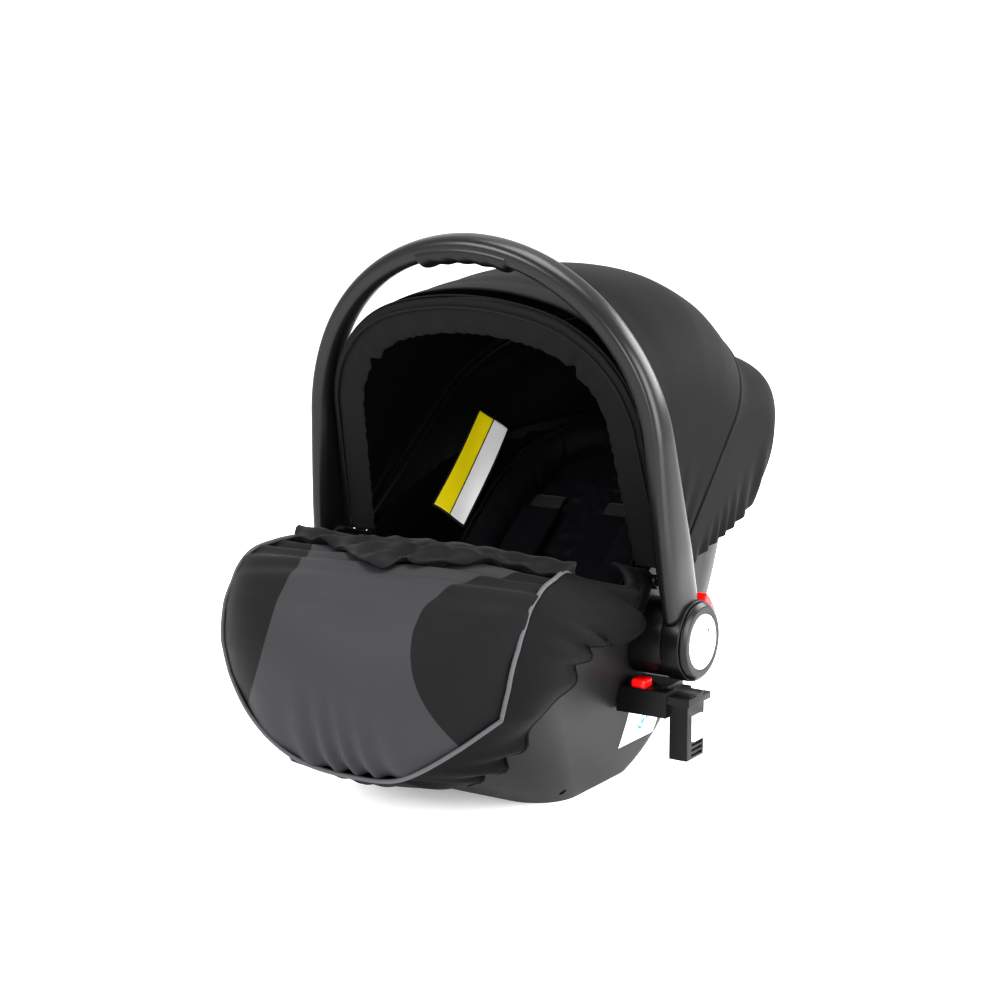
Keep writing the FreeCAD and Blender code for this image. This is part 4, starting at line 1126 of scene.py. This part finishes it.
def straps():
    for side, sign in (("Right", 1), ("Left", -1)):
        across = sign * strap["centre"]
        stops = [(across, back, seatHeight(back, strap["above"]))
                 for back in (0.040, 0.075, 0.110, 0.145, 0.168)]
        last = stops[-1]
        stops += [(across, 0.1735, last[2] - 0.006), (across, 0.1738, last[2] - 0.030),
                  (across, 0.1738, seatHeight(strap["slot"]) - 0.006)]
        piece = ribbon("shoulderBelt" + side, spline(stops, np.linspace(0, 1, 80)), (1, 0, 0), strap["width"],
                       strap["thick"], finish["webbing"])
        hold(piece, "seat", "shoulder_strap_" + side.lower(), finishSlot="webbing")
        lap = [(sign * reach, -0.005, seatHeight(-0.005, 0.0512) - drop)
               for reach, drop in ((0.0295, 0), (0.055, 0.0005), (0.085, 0), (0.117, 0.0006))]
        piece = ribbon("lapBelt" + side, spline(lap, np.linspace(0, 1, 40)), (0, 0.97, 0.243), strap["width"],
                       strap["thick"], finish["webbing"])
        hold(piece, "seat", "lap_strap_" + side.lower(), finishSlot="webbing")
        hold(soften("tongue_" + side.lower(), "buckleTongue" + side, finish["steel"], 0.0006), "seat",
             "tongue_" + side.lower(), finishSlot="steel")
    stops = [(0, -0.0730, 0.080), (0, -0.0730, 0.115), (0, -0.0715, seatHeight(-0.070, 0.0505)),
             (0, -0.060, seatHeight(-0.060, 0.0512)), (0, -0.031, seatHeight(-0.031, 0.0512))]
    piece = ribbon("crotchBelt", spline(stops, np.linspace(0, 1, 50)), (1, 0, 0), strap["width"],
                   strap["thick"], finish["webbing"])
    hold(piece, "seat", "crotch_strap", finishSlot="webbing")
    stops = [(0, back, seatHeight(back, 0.0512)) for back in (-0.165, -0.150, -0.130, -0.113)]
    piece = ribbon("adjusterBelt", spline(stops, np.linspace(0, 1, 30)), (1, 0, 0), 0.025, strap["thick"],
                   finish["webbing"])
    hold(piece, "seat", "adjuster_strap", finishSlot="webbing")
    for node, name, body, look, cad in (
            ("buckle_body", "buckleShell", "seat", "black", "black_plastic"),
            ("buckle_button", "buckleKey", "buckle_button", "red", "red_plastic"),
            ("adjuster_body", "adjusterShell", "seat", "black", "black_plastic"),
            ("adjuster_button", "adjusterKey", "adjuster_button", "red", "red_plastic")):
        hold(soften(node, name, finish[look], 0.0014, 4), body, node, finishSlot=cad)


coverFlap = {"across": 0.1655, "front": -0.048, "rear": 0.004, "top": 0.226, "low": 0.182}


def coverFlaps():
    # corner of the seat cover folded out over the rim ahead of each hub, piped round its lower edge
    for side, sign in (("Right", 1), ("Left", -1)):
        rows, edge = [], []
        middle = (coverFlap["front"] + coverFlap["rear"]) / 2
        half = (coverFlap["rear"] - coverFlap["front"]) / 2
        for turn in np.linspace(-1, 1, 41):
            row = []
            back = middle + half * turn
            low = coverFlap["low"] + 0.020 * abs(turn) ** 2.5
            top = coverFlap["top"] - 0.008 * turn
            for part in np.linspace(0, 1, 18):
                roll = ease(part / 0.3)
                across = coverFlap["across"] - 0.012 * (1 - roll) + 0.0045 * math.sin(part * 2.4)
                across += 0.0012 * math.sin(turn * 7 + part * 5) * part
                row.append((sign * across, back - 0.006 * part,
                            top + 0.004 * math.sin(roll * math.pi) * (1 - part) - (top - low) * part))
            rows.append(row)
            edge.append(row[-1])
        flap = outward(gridPiece("coverFlap" + side, rows, finish["pad"]))
        thicken(flap, 0.0035, 0)
        hold(flap, "seat", finishSlot="cloth_seat")
        cord = tubeAlong("coverFlapPiping" + side, edge, 0.0018, finish["piping"], 10, up=(1, 0, 0))
        hold(cord, "seat", finishSlot="cloth_seat")


seatCovers()
headBolster()
straps()
coverFlaps()
print("seat covers and harness made")

# labels, plain and without lettering


def stickerMaterial():
    make = Maker("sideSticker")
    across, up, deep = make.axes(make.coords())
    back, high = up - 0.040, deep - 0.058
    radius = make.root(back * back + high * high)
    seal = radius < 0.0085
    hole = (radius > 0.0035) * (radius < 0.0055)
    panel = (up > 0.008) * (up < 0.024) * (deep > 0.044) * (deep < 0.076)
    cloud = make.noise(60, 3)
    base = make.mix(cloud, shade(0.74, (0.98, 1, 1.03)), shade(0.82, (0.98, 1, 1.03)))
    base = make.mix(panel * 0.45, base, (0.35, 0.55, 0.80, 1))
    base = make.mix(seal, base, (0.02, 0.16, 0.55, 1))
    base = make.mix(hole, base, shade(0.8))
    return make.surface(Base_Color=base, Roughness=0.35 + cloud * 0.1, Normal=make.bump(cloud, 0.1, 0.00004))


def tagMaterial():
    make = Maker("sideTagCloth")
    across, up, deep = make.axes(make.coords("UV"))
    cloud = make.noise(90, 3)
    edge = (across < 0.05) + (across > 0.95) + (up < 0.02) + (up > 0.98) + (across > 0.485) * (across < 0.515)
    ink = make.capped(edge)
    base = make.mix(across < 0.5, make.mix(cloud, shade(0.80), shade(0.88)), (0.90, 0.76, 0.01, 1))
    base = make.mix(ink, base, shade(0.03))
    return make.surface(Base_Color=base, Roughness=0.5 + cloud * 0.1, Normal=make.bump(cloud, 0.2, 0.0001))


tag = {"corners": [(-0.140, 0.086, 0.236), (-0.110, 0.105, 0.212), (-0.110, 0.191, 0.305),
                   (-0.140, 0.180, 0.327)],
       "thick": 0.0008}


def labels():
    sticker = bpy.data.objects["side_label"]
    for spot in sticker.material_slots:
        spot.material = stickerMaterial()
    low, right, top, left = (np.array(corner) for corner in tag["corners"])
    rows, uvs = [], []
    for up in np.linspace(0, 1, 25):
        row = []
        for across in np.linspace(0, 1, 13):
            place = ((low * (1 - across) + right * across) * (1 - up)
                     + (left * (1 - across) + top * across) * up)
            curl = 0.003 * math.sin(up * math.pi) + 0.0015 * math.sin(across * 5 + up * 4)
            row.append(place + np.array([curl, -curl * 0.5, curl * 0.5]))
            uvs.append((across, up))
        rows.append(row)
    rows = np.array(rows)
    piece = newPiece("sideTag", rows.reshape(-1, 3), gridFaces(*rows.shape[:2]), tagMaterial(), uvs)
    thicken(piece, tag["thick"], 0)
    hold(piece, "seat", "side_tag", finishSlot="side_tag")


labels()

# stage, light and camera


def stageAndCamera():
    floorMesh = bpy.data.meshes.new("floor")
    floorMesh.from_pydata([(-6, -6, 0), (6, -6, 0), (6, 6, 0), (-6, 6, 0)], [], [(0, 1, 2, 3)])
    floor = bpy.data.objects.new("floor", floorMesh)
    bpy.context.scene.collection.objects.link(floor)
    make = Maker("paleFloor")
    floorMesh.materials.append(make.surface(Base_Color=make.mix(make.noise(3), shade(0.86), shade(0.9)),
                                            Roughness=0.8, Emission_Color=shade(1.0), Emission_Strength=0.22))
    world = bpy.data.worlds.new("studio")
    bpy.context.scene.world = world
    world.use_nodes = True
    world.node_tree.nodes["Background"].inputs[0].default_value = (1, 1, 1, 1)
    world.node_tree.nodes["Background"].inputs[1].default_value = 1.0
    lamps = {"keyLeft": ((-0.9, -2.2, 1.5), 1.1, 55), "rightWindow": ((2.2, 0.0, 0.8), 1.4, 62),
             "topSoft": ((0.1, 0.2, 2.4), 1.4, 46), "backRim": ((1.1, 1.9, 1.2), 1.1, 30),
             "frontFill": ((1.3, -2.1, 0.7), 0.7, 22)}
    for name, (place, size, power) in lamps.items():
        lamp = bpy.data.lights.new(name, "AREA")
        lamp.size = size
        lamp.energy = power
        thing = bpy.data.objects.new(name, lamp)
        thing.location = place
        thing.rotation_euler = (Vector((0, 0, 0.25)) - Vector(place)).to_track_quat("-Z", "Y").to_euler()
        bpy.context.scene.collection.objects.link(thing)
    view = {"azimuth": 32.5, "elevation": 11.0, "distance": 2.3, "lens": 84.6, "target": (0, 0, 0.27)}
    lens = bpy.data.cameras.new("camera")
    lens.lens = view["lens"]
    lens.sensor_width = 36
    camera = bpy.data.objects.new("camera", lens)
    azimuth, elevation = math.radians(view["azimuth"]), math.radians(view["elevation"])
    away = Vector((math.sin(azimuth) * math.cos(elevation), -math.cos(azimuth) * math.cos(elevation),
                   math.sin(elevation)))
    target = Vector(view["target"])
    camera.location = target + away * view["distance"]
    camera.rotation_euler = (-away).to_track_quat("-Z", "Y").to_euler()
    bpy.context.scene.collection.objects.link(camera)
    bpy.context.scene.camera = camera
    bpy.context.scene.view_settings.view_transform = "Standard"
    bpy.context.scene.view_settings.look = "High Contrast"


stageAndCamera()
